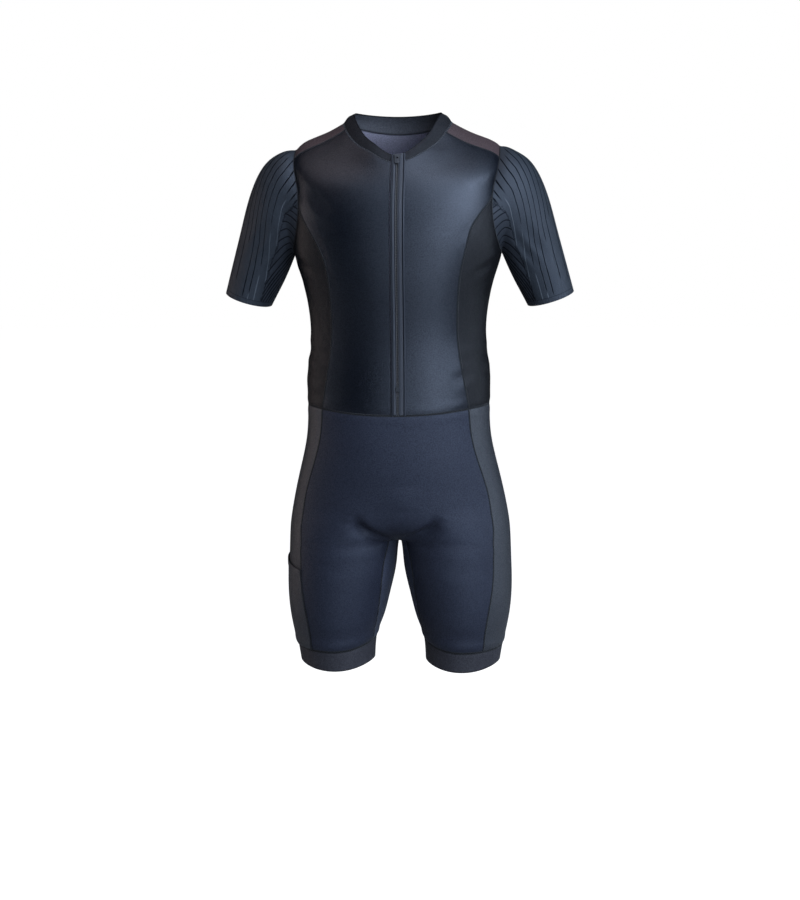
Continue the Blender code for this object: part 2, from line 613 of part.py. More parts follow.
def pocket_grid():
    """The lower side panel's own points moved out, under a slanting mouth with a turned hem."""
    panel = on_shorts(shorts_side())
    u = np.linspace(0, 1, SIDE_COLUMNS + 1)
    mouth = POCKET_FRONT_T + (POCKET_BACK_T - POCKET_FRONT_T) * u
    lower = shorts_t[shorts_t > POCKET_FRONT_T + POCKET_HEM * 1.3]
    rows = [mouth, mouth + POCKET_HEM] + [np.full_like(u, t) for t in lower]
    grid = np.empty((len(rows), len(u), 3))
    for j, row in enumerate(rows):
        for i, t in enumerate(row):
            grid[j, i] = [np.interp(t, shorts_t, panel[:, i, axis]) for axis in range(3)]
    across = np.stack([np.interp(np.array(rows)[:, i], shorts_t, shorts_side()[:, i, 0])
                       for i in range(len(u))], -1)
    away = -shorts.normal(across, np.array(rows))
    lift = np.full(grid.shape[:2], LAYER_GAP + CLOTH)
    lift[:2] += HEM_PROUD
    return grid + away * lift[..., None]


wall("leg_pocket", inset(pocket_grid(), "wen"), "side_jersey", True, side=-1)

# ---------------------------------------------------------------- collar
COLLAR_ROWS = 3


def collar_columns():
    """Shares round the neck seam for one side, from the zip to the back, in line with the panels."""
    front, back = torso.front_length[-1], torso.back_length[-1]
    yoke_front, yoke_back = 1 - YOKE_NECK_FRONT / front, 1 + YOKE_NECK_BACK / back
    return (np.linspace(0, yoke_front, NECK_COLUMNS + 1)[1:],
            np.linspace(yoke_front, yoke_back, YOKE_NECK_COLUMNS + 1)[1:],
            np.linspace(yoke_back, 2, NECK_COLUMNS + 1)[1:])


def placket_edge(form, lengths, side, t):
    """Edge of the zip placket on a form: points."""
    share = (ZIP_HALF + side * ZIP_X) / form.value(lengths, t)
    return form.at(share, t) * (side, 1, 1)


def collar_grid():
    t = np.linspace(0, collar_form.length, COLLAR_ROWS + 1)
    halves = []
    for side in (1, -1):
        start = (ZIP_HALF + side * ZIP_X) / torso.front_length[-1]
        front, over, back = collar_columns()
        front = np.linspace(start, front[-1], NECK_COLUMNS + 1)
        s = np.concatenate([front, over, back])
        s, rows = np.meshgrid(s, t)
        grid = collar_form.at(s, rows)
        grid[:, 0] = placket_edge(collar_form, collar_form.front_length, 1 if side > 0 else -1, t)
        grid[:, 0, 0] = np.abs(grid[:, 0, 0])
        grid[:, -1, 0] = 0
        halves.append(grid * (side, 1, 1))
    return np.concatenate([halves[0], halves[1][:, -2::-1]], axis=1)


wall("collar", inset(collar_grid(), "wes"), "collar_jersey", thickness=COLLAR_WALL)

# ---------------------------------------------------------------- sleeves
SLEEVE_ROWS = 12


def sleeve_ring(row, columns):
    """One section of a sleeve: from its outer line round the front, the inner line and the back."""
    a = np.linspace(0, 2 * pi, 721)
    half = np.array([row.top_x - row.bottom_x, 0, row.top_z - row.bottom_z]) / 2
    middle = np.array([row.top_x + row.bottom_x, 0, row.top_z + row.bottom_z]) / 2
    arm = np.array([half[2], 0, -half[0]]) / np.linalg.norm(half)
    depth = np.where(np.sin(a) >= 0, row.front, row.back)
    line = middle + half * np.cos(a)[:, None] + arm * (row.dip * np.sin(a))[:, None]
    line[:, 1] += row.centre_y - depth * np.sin(a)
    arc = Form.arc(line)
    share = np.linspace(0, arc[-1], columns + 1)[:-1]
    return np.stack([np.interp(share, arc, line[:, axis]) for axis in range(3)], -1)


def sleeve_form(columns):
    """Grid of points on the smooth sleeve: rows from the armhole to the cuff."""
    marks = torso.at(arm_s, arm_t)
    position = np.linspace(0, MARKS, columns + 1)[:-1]
    first = np.stack([np.interp(position, np.arange(MARKS + 1), marks[:, axis]) for axis in range(3)], -1)
    rings = np.array([first] + [sleeve_ring(row, columns) for row in SLEEVE])
    steps = np.linalg.norm(np.diff(rings, axis=0), axis=-1).mean(axis=1)
    knots = np.concatenate([[0], np.cumsum(steps)])
    t = np.linspace(0, knots[-1], SLEEVE_ROWS + 1)
    return np.einsum("tk,kcd->tcd", spline_weights(knots, t), rings)


def ring_normals(grid):
    around = np.roll(grid, -1, axis=1) - np.roll(grid, 1, axis=1)
    along = np.gradient(grid, axis=0)
    normal = np.cross(around, along)
    return normal / np.linalg.norm(normal, axis=-1, keepdims=True)


def sleeve(name, side):
    form = sleeve_form(2 * RIBS)
    away = ring_normals(form)
    fade = np.ones(SLEEVE_ROWS + 1)
    fade[:2] = 0, 0.6
    fade[-1] = 0.5
    height = np.zeros(form.shape[:2])
    height[:, 1::2] = RIB_PROUD * fade[:, None]
    outer = form + away * height[..., None]
    inner = (form - away * CLOTH)[:, ::2]
    marks = np.interp(np.linspace(0, MARKS, 2 * RIBS + 1)[:-1], np.arange(MARKS + 1), arm_s)
    clear = torso.normal(marks, np.interp(np.linspace(0, MARKS, 2 * RIBS + 1)[:-1],
                                          np.arange(MARKS + 1), arm_t)) * LAYER_GAP
    for skin, off in ((outer, clear), (inner, clear[::2])):
        step = skin[1] - skin[0]
        skin[0] += step * 1.5 * SEAM_HALF_GAP / np.linalg.norm(step, axis=1, keepdims=True) + off
    skins(name, outer, inner, "rib_knit", wrap=True, side=side)


for word, side in SIDES:
    sleeve(f"sleeve_{word}", side)

# ---------------------------------------------------------------- zip
SLIDER_DROP = 0.0065      # slider middle below the collar's top edge
SLIDER_HALF = 0.0050      # half its length
POST_FROM = 0.0026        # the tapes part this far above the slider's middle
PART_HALF_GAP = 0.0014    # and leave this much for its post
PLACKET_ROWS = TORSO_ROWS


def placket_lines():
    """Both edges of the placket and how far each row is below the collar's top edge."""
    turn_t = torso.length * 0.66
    low = np.concatenate([np.linspace(0, turn_t, PRINCESS_ROWS + 1),
                          np.linspace(turn_t, torso.length, ARM_ROWS + 1)[1:]])
    high = np.linspace(0, collar_form.length, 9)
    edges = [np.concatenate([placket_edge(torso, torso.front_length, side, low),
                             placket_edge(collar_form, collar_form.front_length, side, high)[1:]])
             for side in (-1, 1)]
    middle = (edges[0] + edges[1]) / 2
    arc = Form.arc(middle)
    return edges[0], edges[1], arc[-1] - arc


left_edge, right_edge, placket_drop = placket_lines()


def placket(drop, across):
    """Point and outward direction on the flat placket; across runs -1..1 from right hand to left."""
    order = np.argsort(placket_drop)
    both = [np.stack([np.interp(drop, placket_drop[order], edge[order, axis]) for axis in range(3)], -1)
            for edge in (left_edge, right_edge)]
    return (both[0] + both[1]) / 2 + (both[1] - both[0]) / 2 * np.asarray(across)[..., None]


def placket_frame(drop):
    """Axes of the placket at a height: across, up and out."""
    up = placket(drop - 0.002, 0.0) - placket(drop + 0.002, 0.0)
    up /= np.linalg.norm(up)
    across = placket(drop, 1.0) - placket(drop, -1.0)
    across -= up * (up @ across)
    across /= np.linalg.norm(across)
    return across, up, np.cross(across, up)


COIL_COLUMNS = (          # distance from the zip centre, share of the coil's height
    (ZIP_HALF - SEAM_HALF_GAP, 0.0),
    (COIL_WIDTH + 0.0007, 0.0),
    (COIL_WIDTH, 1.0),
    (COIL_HALF_GAP, 1.0),
)


def tape(name, side):
    collar_drop = placket_drop[PLACKET_ROWS]
    slider_top = SLIDER_DROP - POST_FROM
    above = [collar_drop * 0.72, SLIDER_DROP + 0.004, slider_top + 0.0012, slider_top, 0.0]
    drops = np.concatenate([placket_drop[:PLACKET_ROWS + 1], above])
    drops[0] -= SEAM_HALF_GAP
    centre_z = placket(drops, np.zeros(len(drops)))[:, 2]
    outer = np.empty((len(drops), len(COIL_COLUMNS), 3))
    inner = np.empty_like(outer)
    for j, drop in enumerate(drops):
        across, up, out = placket_frame(drop)
        parted = drop <= slider_top + 1e-6
        coil = 0.0 if parted or centre_z[j] < COIL_END_Z else COIL_PROUD
        for i, (distance, share) in enumerate(COIL_COLUMNS):
            if parted and share:
                distance = distance - COIL_HALF_GAP + PART_HALF_GAP if i > 2 else distance + 0.0004
            point = placket(drop, side * distance / ZIP_HALF)
            outer[j, i] = point + out * coil * share
            inner[j, i] = point - out * TAPE_WALL
    skins(name, outer, inner, "zip_tape", flip=side > 0)


for word, side in SIDES:
    tape(f"zip_tape_{word}", side)


def boxes(name, frame, parts, look, bevel=0.0002):
    """One solid fused from boxes given as (x0, x1, up0, up1, out0, out1) in a placket frame."""
    made = []
    for x0, x1, u0, u1, n0, n1 in parts:
        corners = [(x, u, n) for x in (x0, x1) for u in (u0, u1) for n in (n0, n1)]
        faces = [(0, 1, 3, 2), (4, 6, 7, 5), (0, 4, 5, 1), (2, 3, 7, 6), (0, 2, 6, 4), (1, 5, 7, 3)]
        made.append(add_object(name, corners, faces, look))
    whole = made[0]
    for other in made[1:]:
        join = whole.modifiers.new("join", "BOOLEAN")
        join.operation, join.object, join.solver = "UNION", other, "EXACT"
        bpy.context.view_layer.update()
        fused = bpy.data.meshes.new_from_object(whole.evaluated_get(bpy.context.evaluated_depsgraph_get()))
        whole.modifiers.clear()
        whole.data = fused
        bpy.data.objects.remove(other, do_unlink=True)
    whole.name = name
    whole.data.transform(frame)
    edge = whole.modifiers.new("edges", "BEVEL")
    edge.width, edge.segments, edge.limit_method = bevel, 1, "ANGLE"
    return whole


def frame_matrix(drop, lift=0.0, shift=0.0):
    across, up, out = placket_frame(drop)
    origin = placket(drop, 0.0) + out * lift + up * shift
    return Matrix([(across[k], up[k], out[k], origin[k]) for k in range(3)] + [(0, 0, 0, 1)])


PLATE_OUT = 0.0017        # front plate above the tape
PLATE = 0.0011
PLATE_HALF = 0.0042       # half its width
BACK_HALF = 0.0040        # back plate, under the tapes
BACK_OUT = (-0.0027, -0.0016)
POST_HALF = 0.0009        # the post joins the plates above the coil
POST_UP = (0.0032, 0.0047)
POST_OUT = (-0.0020, 0.0021)
BAIL_HALF = 0.0009        # the bail is a bridge on the front plate
BAIL_FOOT = (0.0020, 0.0029)
BAIL_OUT = (0.0022, 0.0050)
BAIL_TOP = (0.0046, 0.0056)
boxes("zip_slider", frame_matrix(SLIDER_DROP), [
    (-PLATE_HALF, PLATE_HALF, -SLIDER_HALF, SLIDER_HALF, PLATE_OUT, PLATE_OUT + PLATE),
    (-BACK_HALF, BACK_HALF, -SLIDER_HALF, SLIDER_HALF, *BACK_OUT),
    (-POST_HALF, POST_HALF, *POST_UP, *POST_OUT),
    (-BAIL_HALF, BAIL_HALF, -BAIL_FOOT[1], -BAIL_FOOT[0], *BAIL_OUT),
    (-BAIL_HALF, BAIL_HALF, *BAIL_FOOT, *BAIL_OUT),
    (-BAIL_HALF, BAIL_HALF, -BAIL_FOOT[1], BAIL_FOOT[1], *BAIL_TOP),
], "zip_metal")

# pull tab: a flat frame whose top bar turns under the slider's bail
TAB_AXIS_UP = -0.0009
TAB_AXIS_OUT = 0.00373
TAB_LINES_X = (-0.0036, -0.0015, 0.0015, 0.0036)
TAB_LINES_DOWN = (-0.0005, 0.0005, 0.0049, 0.0095, 0.0132)
TAB_END_HALF = 0.0027
TAB_THICK = 0.0010


def pull_tab():
    points, faces = [], []
    for down in TAB_LINES_DOWN:
        for x in TAB_LINES_X:
            if down == TAB_LINES_DOWN[-1]:
                x *= TAB_END_HALF / TAB_LINES_X[-1]
            points.append((x, -down, 0))
    wide = len(TAB_LINES_X)
    for j in range(len(TAB_LINES_DOWN) - 1):
        for i in range(wide - 1):
            if (i, j) != (1, 1):          # the window
                a = j * wide + i
                faces.append((a, a + wide, a + wide + 1, a + 1))
    made = add_object("pull_tab", points, faces, "pull_metal")
    frame = frame_matrix(SLIDER_DROP, TAB_AXIS_OUT, TAB_AXIS_UP)
    turn = frame.copy()
    turn.translation = Vector((0, 0, 0))
    made.data.transform(turn)
    made.location = frame.translation
    thick = made.modifiers.new("plate", "SOLIDIFY")
    thick.thickness, thick.offset = TAB_THICK, 0
    return made


pull_tab()

# stop at the foot of the coil
STOP_HALF = (0.0028, 0.0045)      # half its width and length
STOP_OUT = (0.0003, 0.0019)
STOP_BELOW = 0.013                # its middle below the last tooth
STOP_BEVEL = 0.0004
stop_drop = float(np.interp(COIL_END_Z, placket(placket_drop, np.zeros(len(placket_drop)))[:, 2],
                            placket_drop))
boxes("zip_stop", frame_matrix(stop_drop + STOP_BELOW),
      [(-STOP_HALF[0], STOP_HALF[0], -STOP_HALF[1], STOP_HALF[1], *STOP_OUT)], "zip_metal", STOP_BEVEL)
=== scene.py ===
# %% [markdown]
# # A short-sleeved triathlon suit, worn and hollow
# A triathlon suit is one garment for swimming, cycling and running. It is cut from thin stretch
# knits that are sewn flat, edge to edge, so that no seam allowance rubs. This lesson dresses the
# plain solids of the suit with cloth, seams and a zip that can be looked at closely.
#
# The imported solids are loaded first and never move. Everything made below rides on them.

# %% Load the frame
from collections import namedtuple
from math import cos, pi, radians, sin

import bmesh
import bpy
import numpy as np
from mathutils import Euler, Matrix, Vector


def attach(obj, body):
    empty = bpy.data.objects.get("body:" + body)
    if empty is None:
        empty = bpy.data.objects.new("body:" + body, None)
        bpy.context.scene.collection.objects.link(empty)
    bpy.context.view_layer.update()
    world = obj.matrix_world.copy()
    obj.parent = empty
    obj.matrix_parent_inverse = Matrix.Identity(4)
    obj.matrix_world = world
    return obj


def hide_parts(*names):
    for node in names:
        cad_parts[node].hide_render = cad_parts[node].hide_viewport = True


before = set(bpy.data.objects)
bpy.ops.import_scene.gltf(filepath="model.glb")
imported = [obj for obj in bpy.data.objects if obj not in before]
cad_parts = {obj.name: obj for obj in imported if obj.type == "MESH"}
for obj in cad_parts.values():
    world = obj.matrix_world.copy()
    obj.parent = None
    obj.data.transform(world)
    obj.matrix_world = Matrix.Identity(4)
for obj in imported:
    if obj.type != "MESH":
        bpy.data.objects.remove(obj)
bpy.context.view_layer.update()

# %% [markdown]
# ## Camera, floor and light
# A garment like this is shown from the front by a long lens, a little above its middle, so that the
# verticals stay calm. The lens is long because a short one would swell the chest and shrink the legs.
# Tall cool lamps stand round the wearer's left, low and high, and draw the long gleams down the satin
# chest. Weak ones open the shaded half, and slim ones behind draw the edges of both sides.

# %% Camera
LENS_MM = 81.0
CAMERA_AT = (0.2680, -3.389, -0.2016)
CAMERA_TURN = Euler((radians(84.36), 0.0, radians(4.5))).to_matrix()
CAMERA_ROLL = Matrix.Rotation(radians(-0.3), 3, "Z")


def deselect():
    bpy.ops.object.select_all(action="DESELECT")


deselect()
bpy.ops.object.camera_add(location=CAMERA_AT, rotation=(CAMERA_TURN @ CAMERA_ROLL).to_euler())
camera = bpy.context.object
camera.name = "camera"
camera.data.lens = LENS_MM
camera.data.clip_end = 60
bpy.context.scene.camera = camera
print(f"camera {Vector(CAMERA_AT).length:.2f} m away, {LENS_MM:.0f} mm lens")

# %% Colour handling
view = bpy.context.scene.view_settings
view.view_transform = "Standard"
view.look = "None"

# %% Soft lamps
Lamp = namedtuple("Lamp", "name round_from_front above distance width height watts colour")
COOL, NEUTRAL, WARM = (0.72, 0.84, 1.0), (0.90, 0.94, 1.0), (1.0, 0.84, 0.80)
LIT = Vector((0.0, 0.0, -0.38))       # all lamps face this point
LAMPS = [                 # degrees towards the wearer's left, degrees up, metres, watts
    Lamp("lamp_front", 12, 2, 3.0, 0.8, 2.2, 18.5, COOL),
    Lamp("lamp_key", 34, 9, 3.0, 0.8, 2.0, 31.0, COOL),
    Lamp("lamp_key_side", 62, 23, 3.0, 0.8, 1.7, 37.0, COOL),
    Lamp("lamp_key_high", 42, 44, 3.0, 1.3, 1.3, 31.0, COOL),
    Lamp("lamp_key_top", 30, 68, 3.0, 1.3, 1.2, 20.0, COOL),
    Lamp("lamp_front_high", 12, 40, 3.0, 1.0, 1.1, 10.0, COOL),
    Lamp("lamp_behind_left", 104, -8, 3.0, 0.8, 1.9, 17.0, COOL),
    Lamp("lamp_right", -70, 5, 3.0, 0.6, 2.0, 4.0, NEUTRAL),
    Lamp("lamp_behind_right", -104, 2, 3.0, 0.6, 2.0, 9.5, WARM),
    Lamp("lamp_right_high", -60, 45, 3.0, 0.9, 0.9, 2.5, WARM),
    Lamp("lamp_top", -64, 76, 2.6, 1.2, 1.2, 6.5, WARM),
]
for lamp in LAMPS:
    turn, tilt = radians(lamp.round_from_front), radians(lamp.above)
    away = Vector((cos(tilt) * sin(turn), -cos(tilt) * cos(turn), sin(tilt)))
    facing = (-away).to_track_quat("-Z", "Y").to_euler()
    bpy.ops.object.light_add(type="AREA", location=LIT + away * lamp.distance, rotation=facing)
    made = bpy.context.object
    made.name = lamp.name
    made.data.shape = "RECTANGLE"
    made.data.size, made.data.size_y = lamp.width, lamp.height
    made.data.energy, made.data.color = lamp.watts, lamp.colour
print(len(LAMPS), "lamps,", sum(lamp.watts for lamp in LAMPS), "watts")

# %% [markdown]
# The room is white where the camera sees it and dim where the cloth reflects it. A room as bright as
# its backdrop would wash the dark knits out to grey. The floor lies well below the hems, because the
# wearer holds the suit up.

# %% Room
FLOOR_Z = -1.10
ROOM_DIM = 0.012
room = bpy.data.worlds.new("room")
bpy.context.scene.world = room
room.use_nodes = True
room_nodes, link = room.node_tree.nodes, room.node_tree.links.new
room_nodes.clear()
seen, white, dim, either, room_out = [room_nodes.new("ShaderNode" + kind) for kind in (
    "LightPath", "Background", "Background", "MixShader", "OutputWorld")]
white.inputs[0].default_value = (1, 1, 1, 1)
dim.inputs[0].default_value = (0.80, 0.88, 1.0, 1)
dim.inputs[1].default_value = ROOM_DIM
link(seen.outputs["Is Camera Ray"], either.inputs[0])
link(dim.outputs[0], either.inputs[1])
link(white.outputs[0], either.inputs[2])
link(either.outputs[0], room_out.inputs[0])

# %% Floor
deselect()
bpy.ops.mesh.primitive_plane_add(size=40, location=(0, 0, FLOOR_Z))
floor = bpy.context.object
floor.name = "floor"
floor_paint = bpy.data.materials.new("pale_floor")
floor_paint.use_nodes = True
paint = floor_paint.node_tree.nodes["Principled BSDF"]
paint.inputs["Base Color"].default_value = (0.30, 0.30, 0.30, 1)
paint.inputs["Roughness"].default_value = 0.9
paint.inputs["Emission Color"].default_value = (1, 1, 1, 1)
direct = floor_paint.node_tree.nodes.new("ShaderNodeLightPath")
floor_paint.node_tree.links.new(direct.outputs["Is Camera Ray"], paint.inputs["Emission Strength"])
floor.data.materials.append(floor_paint)
print("floor at", FLOOR_Z, "m")

# %% [markdown]
# ## A short way to write shader maths
# Every fabric below is a small sum on coordinates: a stitch is a wave, a seam is a distance. A class
# that wraps one socket lets such a sum be written as plain Python, and adds a Math node for each
# operator. Any other node comes from a single method, so each fabric reads as a recipe.


# %% Sockets that can be added and multiplied
def feed(tree, socket, value):
    """Links a signal to a socket, or sets a plain value on it."""
    if isinstance(value, Signal):
        tree.links.new(value.socket, socket)
    else:
        socket.default_value = value


def operator(operation, swap=False):
    """A Python operator that adds one Math node. swap: the signal stands on its right."""
    def method(self, other):
        return self.maths(operation, other, swap=swap)
    return method


class Signal:
    """One output socket. Sums on it add Math nodes."""

    def __init__(self, tree, socket):
        self.tree, self.socket = tree, socket

    def maths(self, operation, *values, clamp=False, swap=False):
        node = self.tree.nodes.new("ShaderNodeMath")
        node.operation, node.use_clamp = operation, clamp
        terms = (*values, self) if swap else (self, *values)
        for place, term in enumerate(terms):
            feed(self.tree, node.inputs[place], term)
        return Signal(self.tree, node.outputs[0])

    __add__, __radd__ = operator("ADD"), operator("ADD", swap=True)
    __sub__, __rsub__ = operator("SUBTRACT"), operator("SUBTRACT", swap=True)
    __mul__, __rmul__ = operator("MULTIPLY"), operator("MULTIPLY", swap=True)
    __truediv__, __rtruediv__ = operator("DIVIDE"), operator("DIVIDE", swap=True)

    def __abs__(self):
        return self.maths("ABSOLUTE")

    def wave(self, pitch):
        """A sine of this signal, -1 to 1, that repeats every pitch."""
        return self.maths("MULTIPLY", 2 * pi / pitch).maths("SINE")

    def above(self, level, gain):
        """0 up to a level, then rising to 1, gain times as fast."""
        return (self - level).maths("MULTIPLY", gain, clamp=True)

    def most(self, other):
        """The larger of the two."""
        return self.maths("MAXIMUM", other)

    def below(self, edge, soft):
        """1 under the edge and 0 over it, with a soft step."""
        return ((edge - self) / soft + 0.5).maths("MULTIPLY", 1.0, clamp=True)


# %% A material as a recipe
class Finish:
    """A material with one Principled shader. Constants go on the shader's own sockets."""

    def __init__(self, name, roughness, sheen=0.0, metallic=0.0, specular=0.5, tint=(1, 1, 1)):
        self.material = bpy.data.materials.new(name)
        self.material.use_nodes = True
        self.tree = self.material.node_tree
        self.shader = self.tree.nodes["Principled BSDF"]
        for socket, value in (("Roughness", roughness), ("Metallic", metallic), ("Sheen Weight", sheen),
                              ("Sheen Roughness", 0.4), ("Sheen Tint", (1, 1, 1, 1)),
                              ("Specular IOR Level", specular), ("Specular Tint", (*tint, 1))):
            self.set(socket, value)

    def set(self, socket, value):
        feed(self.tree, self.shader.inputs[socket], value)

    def add(self, kind, settings=None, sockets=None, output=0):
        """Any node: its settings first, then its sockets. Gives one output as a signal."""
        node = self.tree.nodes.new(kind)
        for name, value in (settings or {}).items():
            setattr(node, name, value)
        for name, value in (sockets or {}).items():
            feed(self.tree, node.inputs[name], value)
        return Signal(self.tree, node.outputs[output])

    def own(self, name):
        """The three numbers of a vector that the mesh carries at each point."""
        vector = self.add("ShaderNodeAttribute", {"attribute_name": name}, output=1)
        return [self.add("ShaderNodeSeparateXYZ", sockets={0: vector}, output=k) for k in range(3)]

    def grain(self, scale, detail=2.0, rough=0.5):
        """Noise in the object's own space, 0 to 1."""
        place = self.add("ShaderNodeTexCoord", output=3)
        return self.add("ShaderNodeTexNoise", None,
                        {"Vector": place, "Scale": scale, "Detail": detail, "Roughness": rough})

    def blend(self, share, first, second):
        """From the first colour to the second."""
        first = first if isinstance(first, Signal) else (*first, 1)
        second = second if isinstance(second, Signal) else (*second, 1)
        return self.add("ShaderNodeMix", {"data_type": "RGBA"}, {0: share, 6: first, 7: second}, output=2)

    def hollow(self, share):
        """Painted shade: where share nears 1, a dark matte shader is mixed in, so the surface reads as a
        shaded gap with hardly any gleam. The knits also use it for random dark flecks.
        """
        dark = self.add("ShaderNodeBsdfDiffuse", None, {"Color": (0.0010, 0.0012, 0.0020, 1)})
        shown = Signal(self.tree, self.shader.outputs[0])
        either = self.add("ShaderNodeMixShader", None, {0: share, 1: shown, 2: dark})
        self.tree.links.new(either.socket, self.tree.nodes["Material Output"].inputs["Surface"])

    def relief(self, height, depth):
        """Raises the shading by height (0 to 1) times depth in metres."""
        self.set("Normal", self.add("ShaderNodeBump", None,
                                    {"Strength": 1.0, "Distance": depth, "Height": height}))


print("shader tools ready")

# %% [markdown]
# ## The worn form
# Stretch cloth takes its shape from the cut and from what fills it, so every panel here is cut from one
# smooth form. The form is a stack of ring sections: each row of a table gives a half width, the centre
# front and back, and how far the section dips there. A spline through the rings makes the surface, and
# a seam is a line of (s, t) on it: s runs 0 to 1 round the front half and 1 to 2 round the back half.

# %% Tables of sections (metres)
Torso = namedtuple("Torso", "half_width side_y front_y back_y side_z front_dip back_dip square turn "
                            "front_cut back_cut")
TORSO = [Torso(*row) for row in (
    (0.1523, -0.002, -0.106, 0.089, -0.457, -0.0142, 0.002, 2.35, 3, 0.128, 0.105),
    (0.153, -0.002, -0.104, 0.087, -0.405, -0.012, 0.003, 2.35, 3, 0.117, 0.098),
    (0.1467, -0.002, -0.105, 0.09, -0.343, -0.01, 0.002, 2.35, 2.5, 0.1075, 0.09),
    (0.1508, -0.002, -0.111, 0.101, -0.29, -0.009, 0, 2.4, 2.5, 0.107, 0.09),
    (0.1612, -0.001, -0.117, 0.111, -0.245, -0.008, 0, 2.45, 2.5, 0.11, 0.096),
    (0.1727, 0, -0.12, 0.118, -0.205, -0.008, 0, 2.55, 2.2, 0.119, 0.108),
    (0.1745, 0, -0.121, 0.122, -0.16, -0.015, -0.002, 2.65, 2, 0.14, 0.128),
    (0.174, 0, -0.118, 0.122, -0.115, -0.033, -0.01, 2.65, 1.7, 0.16, 0.15),
    (0.1735, 0.001, -0.113, 0.118, -0.074, -0.052, -0.022, 2.6, 1.5, 0.175, 0.165),
    (0.1745, 0.001, -0.107, 0.112, -0.046, -0.063, -0.03, 2.5, 1.35, 0.18, 0.17),
    (0.1655, 0.002, -0.101, 0.103, -0.0275, -0.068, -0.028, 2.3, 1.2, 0.178, 0.165),
    (0.129, 0.003, -0.0925, 0.085, -0.0105, -0.068, -0.022, 2, 1.2, 0.15, 0.14),
    (0.09, 0.005, -0.082, 0.062, 0.009, -0.069, -0.017, 1.75, 1.35, 0.11, 0.1),
)]
Shorts = namedtuple("Shorts", "centre_x outer_x centre_y front_y back_y side_z front_dip back_dip "
                              "inner_rise square bridge front_cut back_cut front_inner back_inner")
SHORTS = [Shorts(*row) for row in (
    (0, 0.1523, -0.002, -0.106, 0.089, -0.457, -0.0142, 0.002, 0, 2.35, 0, 0.128, 0.105, 0, 0),
    (0, 0.1545, -0.001, -0.108, 0.103, -0.508, -0.008, 0, 0, 2.3, 0, 0.134, 0.117, 0, 0),
    (0, 0.1655, 0.003, -0.107, 0.12, -0.561, -0.004, 0, 0, 2.25, 0, 0.15, 0.139, 0, 0),
    (0.022, 0.1765, 0.007, -0.103, 0.129, -0.608, -0.003, 0, 0, 2.2, 0.045, 0.165, 0.1525, 0, 0),
    (0.05, 0.1832, 0.01, -0.098, 0.128, -0.643, -0.002, 0, -0.004, 2.15, 0.04, 0.169, 0.1565, 0, 0),
    (0.072, 0.1862, 0.011, -0.094, 0.122, -0.664, -0.001, 0, -0.003, 2.1, 0.024, 0.172, 0.159, 0, 0),
    (0.084, 0.187, 0.012, -0.092, 0.118, -0.678, 0, 0, 0.001, 2.05, 0.012, 0.177, 0.165, 0, 0),
    (0.09, 0.1874, 0.012, -0.0915, 0.115, -0.689, 0, 0, 0.006, 2.05, 0.005, 0.189, 0.1765, 0.006, 0.006),
    (0.0942, 0.1878, 0.012, -0.091, 0.112, -0.702, 0, 0, 0.019, 2.05, 0, 0.231, 0.218, 0.052, 0.051),
    (0.0958, 0.1883, 0.012, -0.0908, 0.109, -0.718, 0, 0, 0.0215, 2.05, 0, 0.229, 0.213, 0.055, 0.053),
    (0.0978, 0.1891, 0.012, -0.0905, 0.106, -0.74, 0, 0, 0.012, 2.05, 0, 0.224, 0.206, 0.059, 0.055),
    (0.1029, 0.1888, 0.011, -0.088, 0.098, -0.78, 0, 0, 0.002, 2.05, 0, 0.205, 0.187, 0.05, 0.05),
    (0.106, 0.1835, 0.009, -0.082, 0.088, -0.825, -0.001, 0, 0.004, 2.05, 0, 0.179, 0.163, 0.041, 0.041),
    (0.1073, 0.1745, 0.006, -0.073, 0.078, -0.866, -0.0045, 0, 0.011, 2.05, 0, 0.155, 0.1435, 0.031, 0.031),
    (0.1064, 0.1698, 0.004, -0.068, 0.072, -0.892, -0.0125, 0, 0.001, 2.05, 0, 0.145, 0.135, 0.029, 0.029),
)]
Sleeve = namedtuple("Sleeve", "top_x top_z bottom_x bottom_z front back centre_y dip")
SLEEVE = [Sleeve(*row) for row in (
    (0.195, -0.039, 0.174, -0.2085, 0.06, 0.064, 0, 0),
    (0.211, -0.048, 0.1752, -0.2115, 0.0595, 0.063, 0.001, 0.001),
    (0.2265, -0.064, 0.178, -0.218, 0.0585, 0.061, 0.002, 0.002),
    (0.241, -0.091, 0.183, -0.2295, 0.056, 0.058, 0.004, 0.003),
    (0.253, -0.125, 0.1895, -0.2435, 0.052, 0.054, 0.006, 0.004),
    (0.264, -0.166, 0.1965, -0.2575, 0.0475, 0.049, 0.008, 0.005),
    (0.2765, -0.212, 0.2045, -0.2725, 0.0435, 0.0445, 0.01, 0.006),
    (0.2925, -0.2705, 0.2157, -0.2938, 0.0405, 0.0405, 0.013, 0.007),
)]
Ring = namedtuple("Ring", "half_width side_y front_y back_y side_z front_dip back_dip square turn")
COLLAR_MIDDLE = Ring(0.0830, 0.006, -0.0783, 0.0615, 0.0190, -0.0732, -0.010, 1.80, 1.45)
COLLAR_TOP = Ring(0.0735, 0.007, -0.0745, 0.0560, 0.0270, -0.0750, -0.005, 1.85, 1.6)
GRIPPER_ROW, CROTCH_ROW = 13, 8       # rows of SHORTS at the band seam and at the crotch
print(len(TORSO), "sections of the torso,", len(SHORTS), "of the shorts,", len(SLEEVE), "of a sleeve")

# %% Rings
RING_SAMPLES = 240


def angles(start, stop):
    """Angles from start to stop (radians), closer together at the ends."""
    ease = (1 - np.cos(np.linspace(0, pi, RING_SAMPLES))) / 2
    return start + (stop - start) * ease


def bent(value, power):
    return np.sign(value) * np.abs(value) ** power


def together(s, t):
    """Both as arrays of one shape."""
    return np.broadcast_arrays(np.asarray(s, float), np.asarray(t, float))


def unit(vectors):
    return vectors / np.linalg.norm(vectors, axis=-1, keepdims=True)


